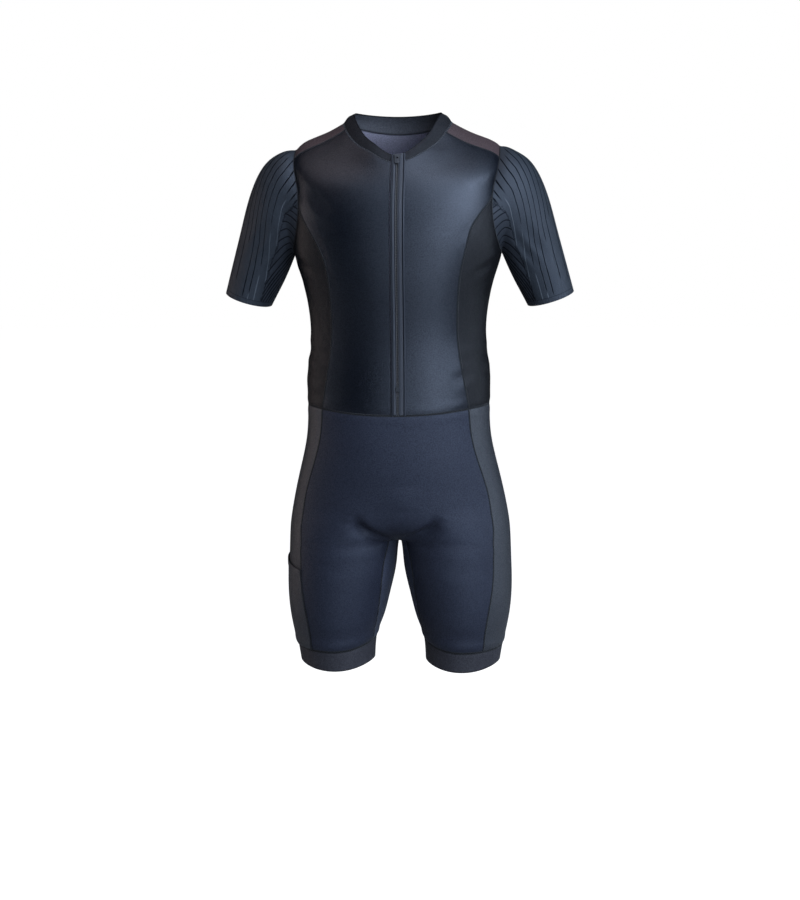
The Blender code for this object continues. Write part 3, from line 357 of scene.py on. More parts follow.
def mix(first, second, share):
    return first * (1 - share) + second * share


def arc(line):
    """Distance along a line of points, from its first point."""
    return np.concatenate([[0], np.cumsum(np.linalg.norm(np.diff(line, axis=0), axis=1))])


def torso_ring(row):
    """Front and back half lines of one section: centre front to side, side to centre back."""
    halves = []
    for phi, reach, dip in ((angles(-pi / 2, 0), row.front_y, row.front_dip),
                            (angles(0, pi / 2), row.back_y, row.back_dip)):
        u = np.abs(np.sin(phi)) ** (2 / row.square)
        x = row.half_width * np.abs(np.cos(phi)) ** (2 / row.square)
        halves.append(np.stack([x, row.side_y + (reach - row.side_y) * u,
                                row.side_z + dip * u ** row.turn], -1))
    return halves


def shorts_ring(row):
    """The same for the hips, clipped at the centre line, and for a leg, a whole ring."""
    half = row.outer_x - row.centre_x
    inner = max(-1.0, min(0.0, (row.bridge - row.centre_x) / half))
    start = pi - np.arccos(-bent(inner, row.square / 2)) if inner > -1 else pi
    stretch = row.outer_x / (row.outer_x ** 2 - row.bridge ** 2) ** 0.5
    turn = 3.0 if row.centre_x == 0 else 2.0
    halves = []
    for phi, reach, dip in ((angles(-start, 0), row.front_y, row.front_dip),
                            (angles(0, start), row.back_y, row.back_dip)):
        u = np.abs(np.sin(phi)) ** (2 / row.square)
        x = row.centre_x + half * bent(np.cos(phi), 2 / row.square)
        if row.bridge or inner > -1:
            x = np.sqrt(np.maximum(x * x - row.bridge ** 2, 0)) * stretch
        z = row.side_z + dip * u ** turn + row.inner_rise * np.maximum(-np.cos(phi), 0) ** 2
        halves.append(np.stack([x, row.centre_y + (reach - row.centre_y) * u, z], -1))
    return halves


print(f"neck seam {2 * sum(arc(half)[-1] for half in torso_ring(TORSO[-1])):.3f} m round")

# %% Splines along the body
def spline_weights(knots, t):
    """Weights of each knot's value in the natural cubic spline through them, at every t."""
    n = len(knots)
    h = np.diff(knots)
    system, right = np.eye(n), np.zeros((n, n))
    for i in range(1, n - 1):
        system[i, i - 1:i + 2] = h[i - 1], 2 * (h[i - 1] + h[i]), h[i]
        right[i, i - 1:i + 2] = 6 / h[i - 1], -6 / h[i - 1] - 6 / h[i], 6 / h[i]
    bend = np.linalg.solve(system, right)
    t = np.asarray(t, float)
    i = np.clip(np.searchsorted(knots, t, side="right") - 1, 0, n - 2)
    b = (t - knots[i]) / h[i]
    a = 1 - b
    eye = np.eye(n)
    cubic = ((a ** 3 - a) * h[i] ** 2 / 6)[..., None] * bend[i]
    cubic += ((b ** 3 - b) * h[i] ** 2 / 6)[..., None] * bend[i + 1]
    return a[..., None] * eye[i] + b[..., None] * eye[i + 1] + cubic


print("weights of four knots, halfway between them:", spline_weights(np.arange(4.0), 1.5).round(3))

# %% A form through its rings
class Form:
    """A surface through section rings. Its normal points away from the wearer."""

    def __init__(self, rings, outward=1):
        self.rings, self.outward = rings, outward
        self.arcs = [[arc(half) for half in ring] for ring in rings]
        self.lengths = [np.array([a[part][-1] for a in self.arcs]) for part in (0, 1)]
        probe = np.linspace(0, 2, 41)
        lines = np.array([self.on_ring(i, probe) for i in range(len(rings))])
        steps = np.linalg.norm(np.diff(lines, axis=0), axis=-1).mean(axis=1)
        self.knots = np.concatenate([[0], np.cumsum(steps)])
        self.length = self.knots[-1]

    def on_ring(self, i, s):
        s = np.asarray(s, float)
        out = np.empty(s.shape + (3,))
        for part, share in ((0, np.clip(s, 0, 1)), (1, np.clip(s - 1, 0, 1))):
            use = s <= 1 if part == 0 else s > 1
            along = self.arcs[i][part]
            for axis in range(3):
                out[..., axis][use] = np.interp(share[use] * along[-1], along, self.rings[i][part][:, axis])
        return out

    def at(self, s, t):
        s, t = together(s, t)
        weights = spline_weights(self.knots, t)
        return sum(weights[..., i, None] * self.on_ring(i, s) for i in range(len(self.rings)))

    def value(self, per_ring, t):
        return spline_weights(self.knots, t) @ np.asarray(per_ring, float)

    def share(self, metres, t, back=False):
        """Metres along a section as a share of its front or back half."""
        return metres / self.value(self.lengths[int(back)], t)

    def find(self, s, axis, target, low=0.0, high=1.0):
        """The t, between two shares of the length, where a coordinate at s reaches the target."""
        low, high = low * self.length, high * self.length
        rising = self.at(s, high)[axis] > self.at(s, low)[axis]
        for _ in range(40):
            middle = (low + high) / 2
            if (self.at(s, middle)[axis] < target) == rising:
                low = middle
            else:
                high = middle
        return (low + high) / 2

    def normal(self, s, t, step=1e-3):
        s, t = together(s, t)
        ds = self.at(np.minimum(s + step, 2), t) - self.at(np.maximum(s - step, 0), t)
        dt = self.at(s, t + step * 0.3) - self.at(s, t - step * 0.3)
        return unit(np.cross(ds, dt) * self.outward)


# %% A form that is eased over the hip
EASE_AT, EASE_REACH = 0.235, 0.040    # metres down
EASE_FROM, EASE_FADE = 0.10, 0.12     # shares of a half ring
EASE_STEPS = (-0.018, -0.009, 0.0, 0.009, 0.018)


class Eased(Form):
    """A form whose surface is averaged along its length near one level, away from the centre line."""

    def at(self, s, t):
        s, t = together(s, t)
        plain = super().at(s, t)
        clear = np.clip((np.minimum(s, 2 - s) - EASE_FROM) / EASE_FADE, 0, 1)
        share = np.exp(-((t - EASE_AT) / EASE_REACH) ** 2) * clear
        soft = sum(super(Eased, self).at(s, np.maximum(t + step, 0)) for step in EASE_STEPS)
        return plain + (soft / len(EASE_STEPS) - plain) * share[..., None]


# %% Body, shorts and collar
torso = Form([torso_ring(row) for row in TORSO])
shorts = Eased([shorts_ring(row) for row in SHORTS], outward=-1)
collar_form = Form([torso_ring(row) for row in (TORSO[-1], COLLAR_MIDDLE, COLLAR_TOP)])
print(f"body length along the cloth {torso.length:.3f} m, shorts {shorts.length:.3f} m")

# %% [markdown]
# ## Seam lines
# A flat-sewn suit is drawn by its seams. The armhole is an oval round the shoulder. Side panels rise
# from the waist to the armholes, and a yoke crosses each shoulder. All seams are kept as shares of the
# form, so the panels on both sides of a seam meet on the very same points.

# %% Where the seams of the torso run
FINE = 6                  # cells of these panels for one stitch mark of the pattern
MARKS = 28 * FINE         # marks round an armhole
YOKE_MARK = 2 * FINE      # the yoke seams meet it here
PRINCESS_MARK = 7 * FINE  # and the side panel's seams here
HIGH_MARK = 6 * FINE      # but the left front one sits a little higher
ARMHOLE_FRONT = 0.071
ARMHOLE_BACK = 0.080
ARMHOLE_BOTTOM_Z = -0.2065
ARMHOLE_TOP_X = 0.1700
ARMHOLE_ROUND = 0.9       # power of its oval: under 1 is fuller
OVAL_SAMPLES = 721
ZIP_X = 0.006
ZIP_HALF = 0.011
YOKE_NECK_FRONT = {1: 0.037, -1: 0.027}
YOKE_NECK_BACK = 0.034
YOKE_BOW = 0.0045
PRINCESS_BOW = 0.055      # share that the left front one bows out near its top
BOW_AT, BOW_REACH, BOW_END = 0.90, 0.11, 0.06             # shares of its rise
PRINCESS_KNOTS = 6
PRINCESS_ROWS = 12 * FINE
BODY_SHARE = 0.66         # share of the torso's length with the side panels' rows
ARM_ROWS = PRINCESS_MARK - YOKE_MARK
NECK_COLUMNS = 6 * FINE
YOKE_COLUMNS = 5 * FINE
print(MARKS, "marks round an armhole")


# %% The armhole
def armhole_line():
    """(s, t) of the marks: from the shoulder down the front, under the arm and up the back."""
    bottom = torso.find(1.0, 2, ARMHOLE_BOTTOM_Z, 0.0, 0.6)
    top = torso.find(1.0, 0, ARMHOLE_TOP_X, 0.6, 1.0)
    a = np.linspace(0, 2 * pi, OVAL_SAMPLES)
    t = (top + bottom) / 2 + (top - bottom) / 2 * np.cos(a)
    fullness = np.abs(np.sin(a)) ** ARMHOLE_ROUND
    s = np.where(np.sin(a) >= 0, 1 - torso.share(ARMHOLE_FRONT * fullness, t),
                 1 + torso.share(ARMHOLE_BACK * fullness, t, back=True))
    along = arc(torso.at(s, t))
    share = np.linspace(0, along[-1], MARKS + 1)
    return np.interp(share, along, s), np.interp(share, along, t)


arm_s, arm_t = armhole_line()
print(f"armhole {arc(torso.at(arm_s, arm_t))[-1]:.3f} m round")


# %% Lines of the torso's panels
def stack(s, t):
    return np.stack(together(s, t), -1)


def turned(share, back):
    """The s of a share that is counted from the centre front, or from the centre back."""
    return 2 - share if back else share


def cut_shares(form, table, back, kind="cut"):
    """A column of cut widths, each as a share of the half ring on its row."""
    name = f"back_{kind}" if back else f"front_{kind}"
    return np.array([getattr(row, name) for row in table]) / form.lengths[int(back)]


def patch(south, north, west, east):
    """Fills between four lines of (s, t); south and north run west to east, the others upward."""
    u = np.linspace(0, 1, len(south))[None, :, None]
    v = np.linspace(0, 1, len(west))[:, None, None]
    corners = ((1 - u) * (1 - v) * south[0] + u * (1 - v) * south[-1]
               + (1 - u) * v * north[0] + u * v * north[-1])
    return (1 - v) * south + v * north + (1 - u) * west[:, None] + u * east[:, None] - corners


def front_mark(side):
    return HIGH_MARK if side > 0 else PRINCESS_MARK


def princess_line(back, side=-1):
    """Side-panel seam, from the waist to its mark on the armhole."""
    mark = MARKS - PRINCESS_MARK if back else front_mark(side)
    share = np.append(cut_shares(torso, TORSO, back)[:PRINCESS_KNOTS], turned(arm_s[mark], back))
    knots = np.append(torso.knots[:PRINCESS_KNOTS], arm_t[mark])
    t = np.linspace(0, arm_t[mark], PRINCESS_ROWS + 1)
    s = spline_weights(knots, t) @ share
    if not back and side > 0:
        rise = t / arm_t[mark]
        s -= PRINCESS_BOW * np.exp(-((rise - BOW_AT) / BOW_REACH) ** 2) * np.clip((1 - rise) / BOW_END, 0, 1)
    return stack(turned(s, back), t)


def side_rows(arm_rows=ARM_ROWS):
    """Rows of t up the zip or the centre back."""
    turn = torso.length * BODY_SHARE
    return np.concatenate([np.linspace(0, turn, PRINCESS_ROWS + 1),
                           np.linspace(turn, torso.length, arm_rows + 1)[1:]])


def bowed(start, end):
    """The yoke's front seam, which bows down a little between its ends."""
    u = np.linspace(0, 1, YOKE_COLUMNS + 1)[:, None]
    return mix(start, end, u) - np.sin(pi * u) * (0, YOKE_BOW)


print(f"side panel's seam {arc(torso.at(*princess_line(False).T))[-1]:.3f} m long in front")


# %% Panels of the torso
def half_panel(back, centre, side=-1):
    """Front or back of the torso, from a line `centre` metres off the middle out to its seams."""
    mark = PRINCESS_MARK if back else front_mark(side)
    west_t = side_rows(mark - YOKE_MARK)
    west = stack(turned(torso.share(centre, west_t, back), back), west_t)
    if back:
        marks = np.arange(MARKS - PRINCESS_MARK, MARKS - YOKE_MARK + 1)
        neck_s = 1 + YOKE_NECK_BACK / torso.lengths[1][-1]
    else:
        marks = np.arange(mark, YOKE_MARK - 1, -1)
        neck_s = 1 - YOKE_NECK_FRONT[side] / torso.lengths[0][-1]
    east = np.concatenate([princess_line(back, side), stack(arm_s[marks], arm_t[marks])[1:]])
    neck = stack(np.linspace(west[-1, 0], neck_s, NECK_COLUMNS + 1), torso.length)
    yoke = np.linspace(neck[-1], east[-1], YOKE_COLUMNS + 1) if back else bowed(neck[-1], east[-1])
    south = stack(np.linspace(west[0, 0], east[0, 0], NECK_COLUMNS + YOKE_COLUMNS + 1), 0.0)
    return patch(south, np.concatenate([neck, yoke[1:]]), west, east)


def side_panel(side):
    front, back = princess_line(False, side), princess_line(True)
    marks = np.arange(front_mark(side), MARKS - PRINCESS_MARK + 1)
    south = stack(np.linspace(front[0, 0], back[0, 0], len(marks)), 0.0)
    return patch(south, stack(arm_s[marks], arm_t[marks]), front, back)


def yoke_panel(side):
    neck_front = 1 - YOKE_NECK_FRONT[side] / torso.lengths[0][-1]
    neck_back = 1 + YOKE_NECK_BACK / torso.lengths[1][-1]
    neck = stack(np.linspace(neck_front, neck_back, 2 * YOKE_MARK + 1), torso.length)
    marks = np.arange(YOKE_MARK, -YOKE_MARK - 1, -1) % MARKS
    arm = stack(arm_s[marks], arm_t[marks])
    return patch(arm, neck, bowed(neck[0], arm[0])[::-1],
                 np.linspace(arm[-1], neck[-1], YOKE_COLUMNS + 1))


print("points of the back, up and across:", half_panel(True, 0.0).shape[:2])

# %% Lines of the shorts
HIP_ROWS = 10 * FINE
LEG_ROWS = 10 * FINE
FRONT_COLUMNS = 9 * FINE
SIDE_COLUMNS = 5 * FINE
INNER_COLUMNS = 4 * FINE
GUSSET_START = 6.8        # the inner-leg panels begin between these sections
INNER_FULLER = 0.024      # and are this share of a half ring wider halfway down, in front
gusset_t = float(np.interp(GUSSET_START, np.arange(len(SHORTS)), shorts.knots))
gripper_t = shorts.knots[GRIPPER_ROW]
crotch_t = shorts.knots[CROTCH_ROW]
shorts_t = np.concatenate([np.linspace(0, gusset_t, HIP_ROWS + 1),
                           np.linspace(gusset_t, gripper_t, LEG_ROWS + 1)[1:]])


def side_seam(back, t):
    """The s of the side panel's front or back seam."""
    return turned(shorts.value(cut_shares(shorts, SHORTS, back), t), back)


def inner_share(back, t):
    """Share of the inner-leg seam: nothing above the gusset point."""
    first = int(GUSSET_START) + 1
    knots = np.concatenate([[gusset_t], shorts.knots[first:]])
    values = np.concatenate([[0], cut_shares(shorts, SHORTS, back, "inner")[first:]])
    if not back:
        values += INNER_FULLER * np.sin(np.linspace(0, pi, len(values))) ** 2
    t = np.asarray(t, float)
    return np.where(t <= gusset_t, 0.0, spline_weights(knots, np.maximum(t, gusset_t)) @ values)


print(f"{len(shorts_t)} rows down the shorts")


# %% Panels of the shorts
def shorts_half(back):
    """Each row from the centre line or the inner-leg seam out to the side panel."""
    inner = inner_share(back, shorts_t)
    outer = shorts.value(cut_shares(shorts, SHORTS, back), shorts_t)
    s = mix(inner[:, None], outer[:, None], np.linspace(0, 1, FRONT_COLUMNS + 1))
    return stack(turned(s, back), shorts_t[:, None])


def shorts_side():
    front, back = side_seam(False, shorts_t)[:, None], side_seam(True, shorts_t)[:, None]
    return stack(mix(front, back, np.linspace(0, 1, SIDE_COLUMNS + 1)), shorts_t[:, None])


def inner_leg():
    """Inner-leg panel: its top edge is the crotch seam, front to back under the body."""
    t_edge = shorts_t[HIP_ROWS:]
    v = (t_edge - gusset_t) / (gripper_t - gusset_t)
    columns = []
    for u in np.linspace(1, -1, 2 * INNER_COLUMNS + 1):
        top = crotch_t + (gusset_t - crotch_t) * abs(u)
        share = inner_share(u < 0, t_edge) * abs(u)
        columns.append(stack(turned(share, u < 0), top + (gripper_t - top) * v))
    return np.stack(columns, axis=1)


GRIPPER_COLUMNS, GRIPPER_ROWS = 160, 14


def gripper():
    """Leg band: a whole ring, from its seam to the hem."""
    s = np.linspace(0, 2, GRIPPER_COLUMNS + 1)[:-1]
    t = np.linspace(gripper_t, shorts.length, GRIPPER_ROWS + 1)
    return stack(s[None], t[:, None])


print(f"leg band {shorts.length - gripper_t:.3f} m deep")

# %% [markdown]
# ## Creases
# Fitted stretch cloth has few folds, and they lie where the body bends: under the arm, at the waist, in
# the groin and below the seat. Each one is given as a line through the cloth, with a depth and a width,
# and fades out at both ends. A trough pushes up a lower ridge on each side. Every panel, seam and
# zip part is moved by the same sum, so a fold runs on unbroken across a seam.

# %% How a fold is drawn
Crease = namedtuple("Crease", "depth width above line")
FOLDS = []                # filled below: depth and width in metres, line a list of points


def fold(depth, width, *line):
    """Adds a fold: its depth, its width and the points that it runs through, all in millimetres."""
    FOLDS.append(Crease(depth / 1000, width / 1000, width / 1000, np.array(line, float) / 1000))


def tuck(depth, width, above, *line):
    """Adds a fold that overhangs: `above` is how far up its soft upper side reaches."""
    FOLDS.append(Crease(depth / 1000, width / 1000, above / 1000, np.array(line, float) / 1000))


# %% Folds of the torso
# under the left arm, running in from the armpit (millimetres)
fold(2.6, 7, (178, -22, -214), (163, -62, -226), (138, -92, -243), (116, -106, -262))
fold(1.9, 6, (175, -30, -232), (158, -64, -250), (134, -90, -272))
fold(1.6, 6, (171, -8, -244), (158, -48, -270), (140, -78, -300))
fold(1.8, 7, (170, 24, -226), (158, 70, -246), (132, 98, -276))
fold(2.2, 7, (172, 30, -214), (150, 88, -222), (116, 110, -246), (84, 114, -262))
# under the right arm
fold(2.4, 7, (-178, -20, -216), (-165, -58, -222), (-142, -88, -236), (-120, -104, -250))
fold(2.0, 6, (-174, -34, -236), (-156, -66, -262), (-134, -88, -290))
fold(1.4, 5, (-172, -6, -252), (-160, -44, -284), (-146, -70, -318))
fold(2.0, 7, (-170, 28, -220), (-152, 80, -240), (-124, 104, -268))
# from the front of each armhole towards the chest
fold(0.7, 8, (151, -92, -150), (128, -108, -166), (104, -117, -186))
fold(1.2, 8, (-150, -92, -142), (-126, -108, -158), (-98, -118, -172))
fold(0.5, 9, (146, -84, -96), (122, -98, -112), (98, -108, -134))
fold(1.3, 9, (-146, -84, -100), (-124, -98, -120), (-104, -107, -146))
# waist, left side and round to the back
fold(2.2, 9, (152, 10, -372), (140, -50, -378), (116, -78, -388))
fold(1.8, 8, (154, -18, -402), (146, -52, -396), (126, -76, -404), (104, -88, -412))
fold(2.0, 8, (150, 30, -352), (136, 66, -346), (102, 84, -352), (70, 91, -360))
fold(2.3, 9, (154, 24, -386), (138, 66, -382), (104, 82, -390), (60, 88, -396))
fold(1.6, 8, (153, 10, -428), (140, 62, -424), (110, 80, -430))
fold(1.8, 8, (84, 88, -414), (40, 90, -420), (-10, 90, -416), (-52, 89, -424))
# waist, right side
fold(2.0, 9, (-151, 6, -364), (-140, -46, -372), (-118, -76, -380))
fold(1.9, 8, (-154, -14, -396), (-146, -54, -402), (-124, -78, -412))
fold(2.1, 8, (-150, 32, -344), (-134, 66, -352), (-98, 84, -350), (-62, 92, -356))
fold(2.0, 9, (-154, 22, -380), (-138, 64, -388), (-102, 82, -384), (-66, 88, -392))
fold(1.7, 8, (-154, 12, -422), (-140, 60, -430), (-106, 80, -424))
fold(1.2, 7, (-152, -16, -436), (-144, -54, -440), (-126, -78, -446))
# hollow of the back
fold(1.6, 12, (8, 92, -250), (-3, 94, -300), (4, 89, -352), (0, 87, -402))
fold(1.4, 9, (36, 116, -216), (60, 116, -236), (96, 108, -250))
fold(1.3, 9, (-32, 116, -222), (-64, 115, -240), (-98, 107, -262))
fold(1.1, 10, (30, 112, -100), (70, 112, -118), (108, 108, -148))
fold(1.2, 10, (-26, 113, -108), (-66, 112, -122), (-112, 107, -156))
print(f"{len(FOLDS)} folds in the torso")

# %% Folds of the shorts
# the turned-under cup of the crotch, and faint pulls out of it
tuck(10.5, 13, 6, (-64, -96, -647), (-56, -96, -658), (-47, -92, -667), (-36, -87, -673), (-26, -78, -678),
     (-12, -62, -684))
tuck(9.5, 13, 6, (66, -96, -646), (60, -95, -657), (50, -92, -666), (38, -87, -673), (26, -78, -678),
     (12, -62, -684))
tuck(6.0, 8, 4, (-66, -96, -648), (-54, -94, -660), (-40, -89, -671))
tuck(5.5, 8, 4, (70, -96, -648), (58, -95, -658), (44, -90, -667), (34, -84, -673))
tuck(-2.6, 20, 24, (8, -104, -590), (10, -105, -612), (8, -104, -630))
fold(0.6, 10, (70, -96, -640), (98, -92, -632), (126, -86, -628))
fold(0.6, 10, (-72, -96, -644), (-100, -92, -636), (-128, -84, -630))
fold(0.5, 10, (70, -90, -716), (96, -90, -728), (124, -84, -734))
fold(0.6, 10, (-66, -90, -722), (-94, -90, -730), (-126, -82, -728))
# below the seat
fold(2.6, 9, (30, 116, -664), (62, 122, -684), (100, 118, -692), (134, 98, -690))
fold(2.4, 9, (-28, 116, -660), (-60, 122, -682), (-98, 118, -694), (-136, 96, -688))
fold(1.8, 8, (56, 110, -708), (92, 110, -716), (124, 96, -714))
fold(1.7, 8, (-58, 110, -704), (-94, 110, -714), (-128, 94, -716))
fold(1.5, 10, (3, 112, -604), (-2, 114, -630), (2, 108, -654))
fold(1.4, 9, (70, 96, -744), (98, 100, -752), (122, 90, -750))
fold(1.4, 9, (-72, 96, -740), (-100, 100, -746), (-120, 92, -748))
# inner legs and over the leg bands
fold(1.6, 7, (44, -20, -730), (42, 12, -738), (46, 44, -732))
fold(1.6, 7, (-44, -16, -728), (-42, 16, -736), (-46, 48, -734))
fold(1.3, 8, (52, -30, -768), (50, 10, -776), (54, 52, -770))
fold(1.2, 8, (-52, -28, -772), (-50, 14, -780), (-55, 54, -774))
fold(0.9, 9, (76, -72, -836), (108, -80, -846), (140, -66, -842))
fold(0.9, 9, (-72, -74, -840), (-104, -80, -850), (-138, -66, -844))
fold(1.1, 9, (80, 84, -830), (110, 86, -840), (142, 68, -836))
fold(1.0, 9, (-78, 84, -834), (-108, 86, -844), (-140, 70, -838))
print(f"{len(FOLDS)} folds with the shorts")

# %% Folds of the sleeves
# on the left sleeve, at the inside of the elbow and across the back
fold(2.2, 6, (184, -52, -196), (200, -44, -222), (216, -34, -236))
fold(1.8, 6, (196, -52, -178), (212, -48, -204), (230, -38, -224))
fold(1.5, 7, (212, -52, -160), (228, -47, -190), (246, -34, -214))
fold(1.4, 7, (200, 60, -176), (222, 52, -206), (244, 38, -226))
fold(1.6, 7, (186, 62, -196), (206, 56, -222), (224, 42, -240))
fold(1.2, 8, (226, 60, -134), (248, 48, -166), (268, 30, -194))
fold(0.9, 8, (238, -48, -132), (256, -38, -162), (272, -20, -186))
# on the right sleeve
fold(2.1, 6, (-184, -52, -194), (-199, -46, -218), (-214, -36, -236))
fold(1.7, 6, (-194, -54, -174), (-211, -49, -200), (-228, -40, -222))
fold(1.6, 7, (-214, -52, -164), (-231, -45, -194), (-247, -32, -218))
fold(1.5, 7, (-198, 60, -180), (-220, 53, -208), (-240, 40, -230))
fold(1.6, 7, (-185, 62, -200), (-204, 57, -226), (-220, 44, -244))
fold(1.3, 8, (-224, 60, -130), (-246, 50, -162), (-264, 34, -190))
fold(0.8, 8, (-240, -48, -138), (-257, -36, -168), (-272, -20, -192))
print(f"{len(FOLDS)} folds in all, the deepest {max(crease.depth for crease in FOLDS) * 1000:.1f} mm")

# %% How the folds move the cloth
RIDGE_SHARE = 0.34        # height of the side ridges, as a share of the trough
RIDGE_AT = 1.9            # how far out they lie, in widths
RIDGE_SPREAD = 0.8        # square of how wide they are, in widths
END_DEPTH = 0.25          # depth near a fold's ends, as a share
END_POWER = 0.8           # how soon it deepens from there: under 1 is sooner
END_FADE = (1.6, 1.7)     # fades the very ends to nothing: where from, and how steeply


def shift(points):
    """How far the folds move each point along its normal: minus is inward."""
    flat = points.reshape(-1, 3)
    moved = np.zeros(len(flat))
    for crease in FOLDS:
        near = np.full(len(flat), 1e9)
        place, higher = np.zeros(len(flat)), np.zeros(len(flat), bool)
        lengths = arc(crease.line)
        for a, b, done in zip(crease.line, crease.line[1:], lengths):
            step = b - a
            share = np.clip((flat - a) @ step / (step @ step), 0, 1)
            off = flat - a - share[:, None] * step
            away = np.linalg.norm(off, axis=1)
            closer = away < near
            near[closer] = away[closer]
            higher[closer] = off[closer, 2] > 0
            place[closer] = done + share[closer] * np.linalg.norm(step)
        along = np.sin(pi * np.clip(place / lengths[-1], 0, 1)) ** END_POWER
        far = near / np.where(higher, crease.above, crease.width)
        ridge = RIDGE_SHARE * (crease.above == crease.width)
        profile = -np.exp(-far ** 2 / 2) + ridge * np.exp(-(far - RIDGE_AT) ** 2 / RIDGE_SPREAD)
        fade = END_DEPTH + (1 - END_DEPTH) * along
        ends = np.clip(END_FADE[0] - np.abs(place / lengths[-1] - 0.5) * 2, 0, 1)
        moved += crease.depth * profile * fade * np.minimum(ends * END_FADE[1], 1)
    return moved.reshape(points.shape[:-1])


print(f"one point of the chest moves {shift(np.array([[0.104, -0.117, -0.186]]))[0] * 1000:.2f} mm")

# %% Gathers and pulls
Gather = namedtuple("Gather", "form at drawn width swell beside reach")
GATHERS = [               # metres along the form; drawn in at the seam, swelling beside it
    Gather(shorts, gripper_t, 0.0010, 0.0030, 0.0011, -0.0095, 0.0065),
    Gather(shorts, 0.0, 0.0006, 0.0030, 0.0004, 0.010, 0.006),
    Gather(torso, 0.0, 0.0006, 0.0030, 0.0004, 0.010, 0.006),
]


def gathered(form, t):
    """How far tight seams and elastic move the cloth: minus is inward."""
    moved = np.zeros(np.shape(t))
    for gather in GATHERS:
        if gather.form is form:
            moved -= gather.drawn * np.exp(-((t - gather.at) / gather.width) ** 2)
            moved += gather.swell * np.exp(-((t - gather.at - gather.beside) / gather.reach) ** 2)
    return moved


Pull = namedtuple("Pull", "centre reach up")
shoulder, corner = torso.at(1.0, arm_t[0]), collar_form.at(1.0, collar_form.length)
PULLS = [                 # metres: the neck sits unevenly on the zip, and the collar's corners are round
    Pull((-0.036, -0.078, -0.036), 0.026, 0.0065),
    Pull((0.066, -0.052, -0.012), 0.022, -0.0045),
    Pull(shoulder * (-1, 1, 1) + (0.006, 0, 0), 0.016, -0.0025),
    Pull(shoulder + (0.008, 0, -0.004), 0.014, 0.0022),
    Pull(corner + (-0.001, -0.001, 0.001), 0.0085, -0.0034),
    Pull(corner * (-1, 1, 1) + (0.001, -0.001, 0.001), 0.0085, -0.0034),
]


def pulled(points):
    """The points after the pulls, which move whole patches of cloth up or down, seams and all."""
    moved = points.copy()
    for pull in PULLS:
        far = np.linalg.norm(points - pull.centre, axis=-1)
        moved += np.exp(-(far / pull.reach) ** 2)[..., None] * np.array((0.0, 0.0, pull.up))
    return moved


print(len(GATHERS), "gathers,", len(PULLS), "pulls")

# %% The surface of the worn cloth
NEAR_MIDDLE = 0.014       # share of a half ring


def surface(form, st, side=1):
    """Points of cloth and outward directions, folds and all, on one side of the body."""
    s, t = st[..., 0], st[..., 1]
    points = form.at(s, t)
    middle = np.abs(points[..., 0]) < 1e-5
    near = np.where(middle, np.clip(s, NEAR_MIDDLE, 2 - NEAR_MIDDLE), s)
    points[middle, 1:] = form.at(near, t)[middle, 1:]     # no ridge where two halves meet
    away = form.normal(near, t)
    away[middle, 0] = 0
    points, away = points * (side, 1, 1), unit(away) * (side, 1, 1)
    return pulled(points + away * (shift(points) + gathered(form, t))[..., None]), away


print("top of the collar at", surface(collar_form, np.array([[1.0, collar_form.length]]))[0].round(4))

# %% [markdown]
# ## Turning a grid into cloth
# A panel starts as a grid of points, the right side of the cloth. Solidify thickens it inward, and its
# inner skin takes a second material, because the wrong side of a knit is paler and duller. Each point
# keeps where it lies in the flat cut: metres across, metres along and metres to the nearest seam. The
# fabrics read those three numbers, so stitches follow the cloth and not the room.

# %% Grids, walls and finished modifiers
THREAD_LIFT = 0.00015     # the shown cloth lies this far over the plain solid
WALL = 0.0011
ON_MIDDLE = 0.0004        # points nearer the centre line than this are on it


def grid_faces(rows, columns, flip=False, wrap=False):
    faces = []
    for j in range(rows - 1):
        for i in range(columns - (0 if wrap else 1)):
            k = (i + 1) % columns
            face = (j * columns + i, j * columns + k, (j + 1) * columns + k, (j + 1) * columns + i)
            faces.append(face[::-1] if flip else face)
    return faces


def steps(points, axis):
    """Metres from each point of a grid to the next."""
    return np.linalg.norm(np.diff(points, axis=axis), axis=2)


def flat_place(points, wrap=False, seamed=(True, True)):
    """Metres across, along, and to the nearest seam. seamed: is there one at the first and last column?"""
    across, along = np.zeros(points.shape[:2]), np.zeros(points.shape[:2])
    across[:, 1:] = np.cumsum(steps(points, 1), axis=1)
    along[1:] = np.cumsum(steps(points, 0), axis=0)
    edge = np.minimum(along, along[-1:] - along)
    for there, reach in zip(seamed, (across, across[:, -1:] - across)):
        if there and not wrap:
            edge = np.minimum(edge, reach)
    return np.stack([across, along, edge], -1)


def outward_faces(points, away, wrap=False):
    """Whether the grid's faces must be turned so that they look along `away`."""
    j, i = points.shape[0] // 2, points.shape[1] // 2
    k = (i + 1) % points.shape[1]
    across, along = points[j, k] - points[j, i], points[min(j + 1, len(points) - 1), i] - points[j, i]
    return float(np.dot(np.cross(across, along), away[j, i])) < 0


def finish_piece(made, smooth=60):
    """Applies the modifiers and smooths the shading."""
    deselect()
    made.select_set(True)
    bpy.context.view_layer.objects.active = made
    for modifier in list(made.modifiers):
        bpy.ops.object.modifier_apply(modifier=modifier.name)
    bpy.ops.object.shade_smooth_by_angle(angle=radians(smooth))
    deselect()


print("a wall is", WALL * 1000, "mm thick")

# %% Cloth from grids of points
Grid = namedtuple("Grid", "points away cut")      # places, outward directions, places in the flat cut


def placed(name, mesh, *looks):
    """An object of a mesh, at the origin."""
    for look in looks:
        mesh.materials.append(look)
    made = bpy.data.objects.new(name, mesh)
    bpy.context.scene.collection.objects.link(made)
    return made


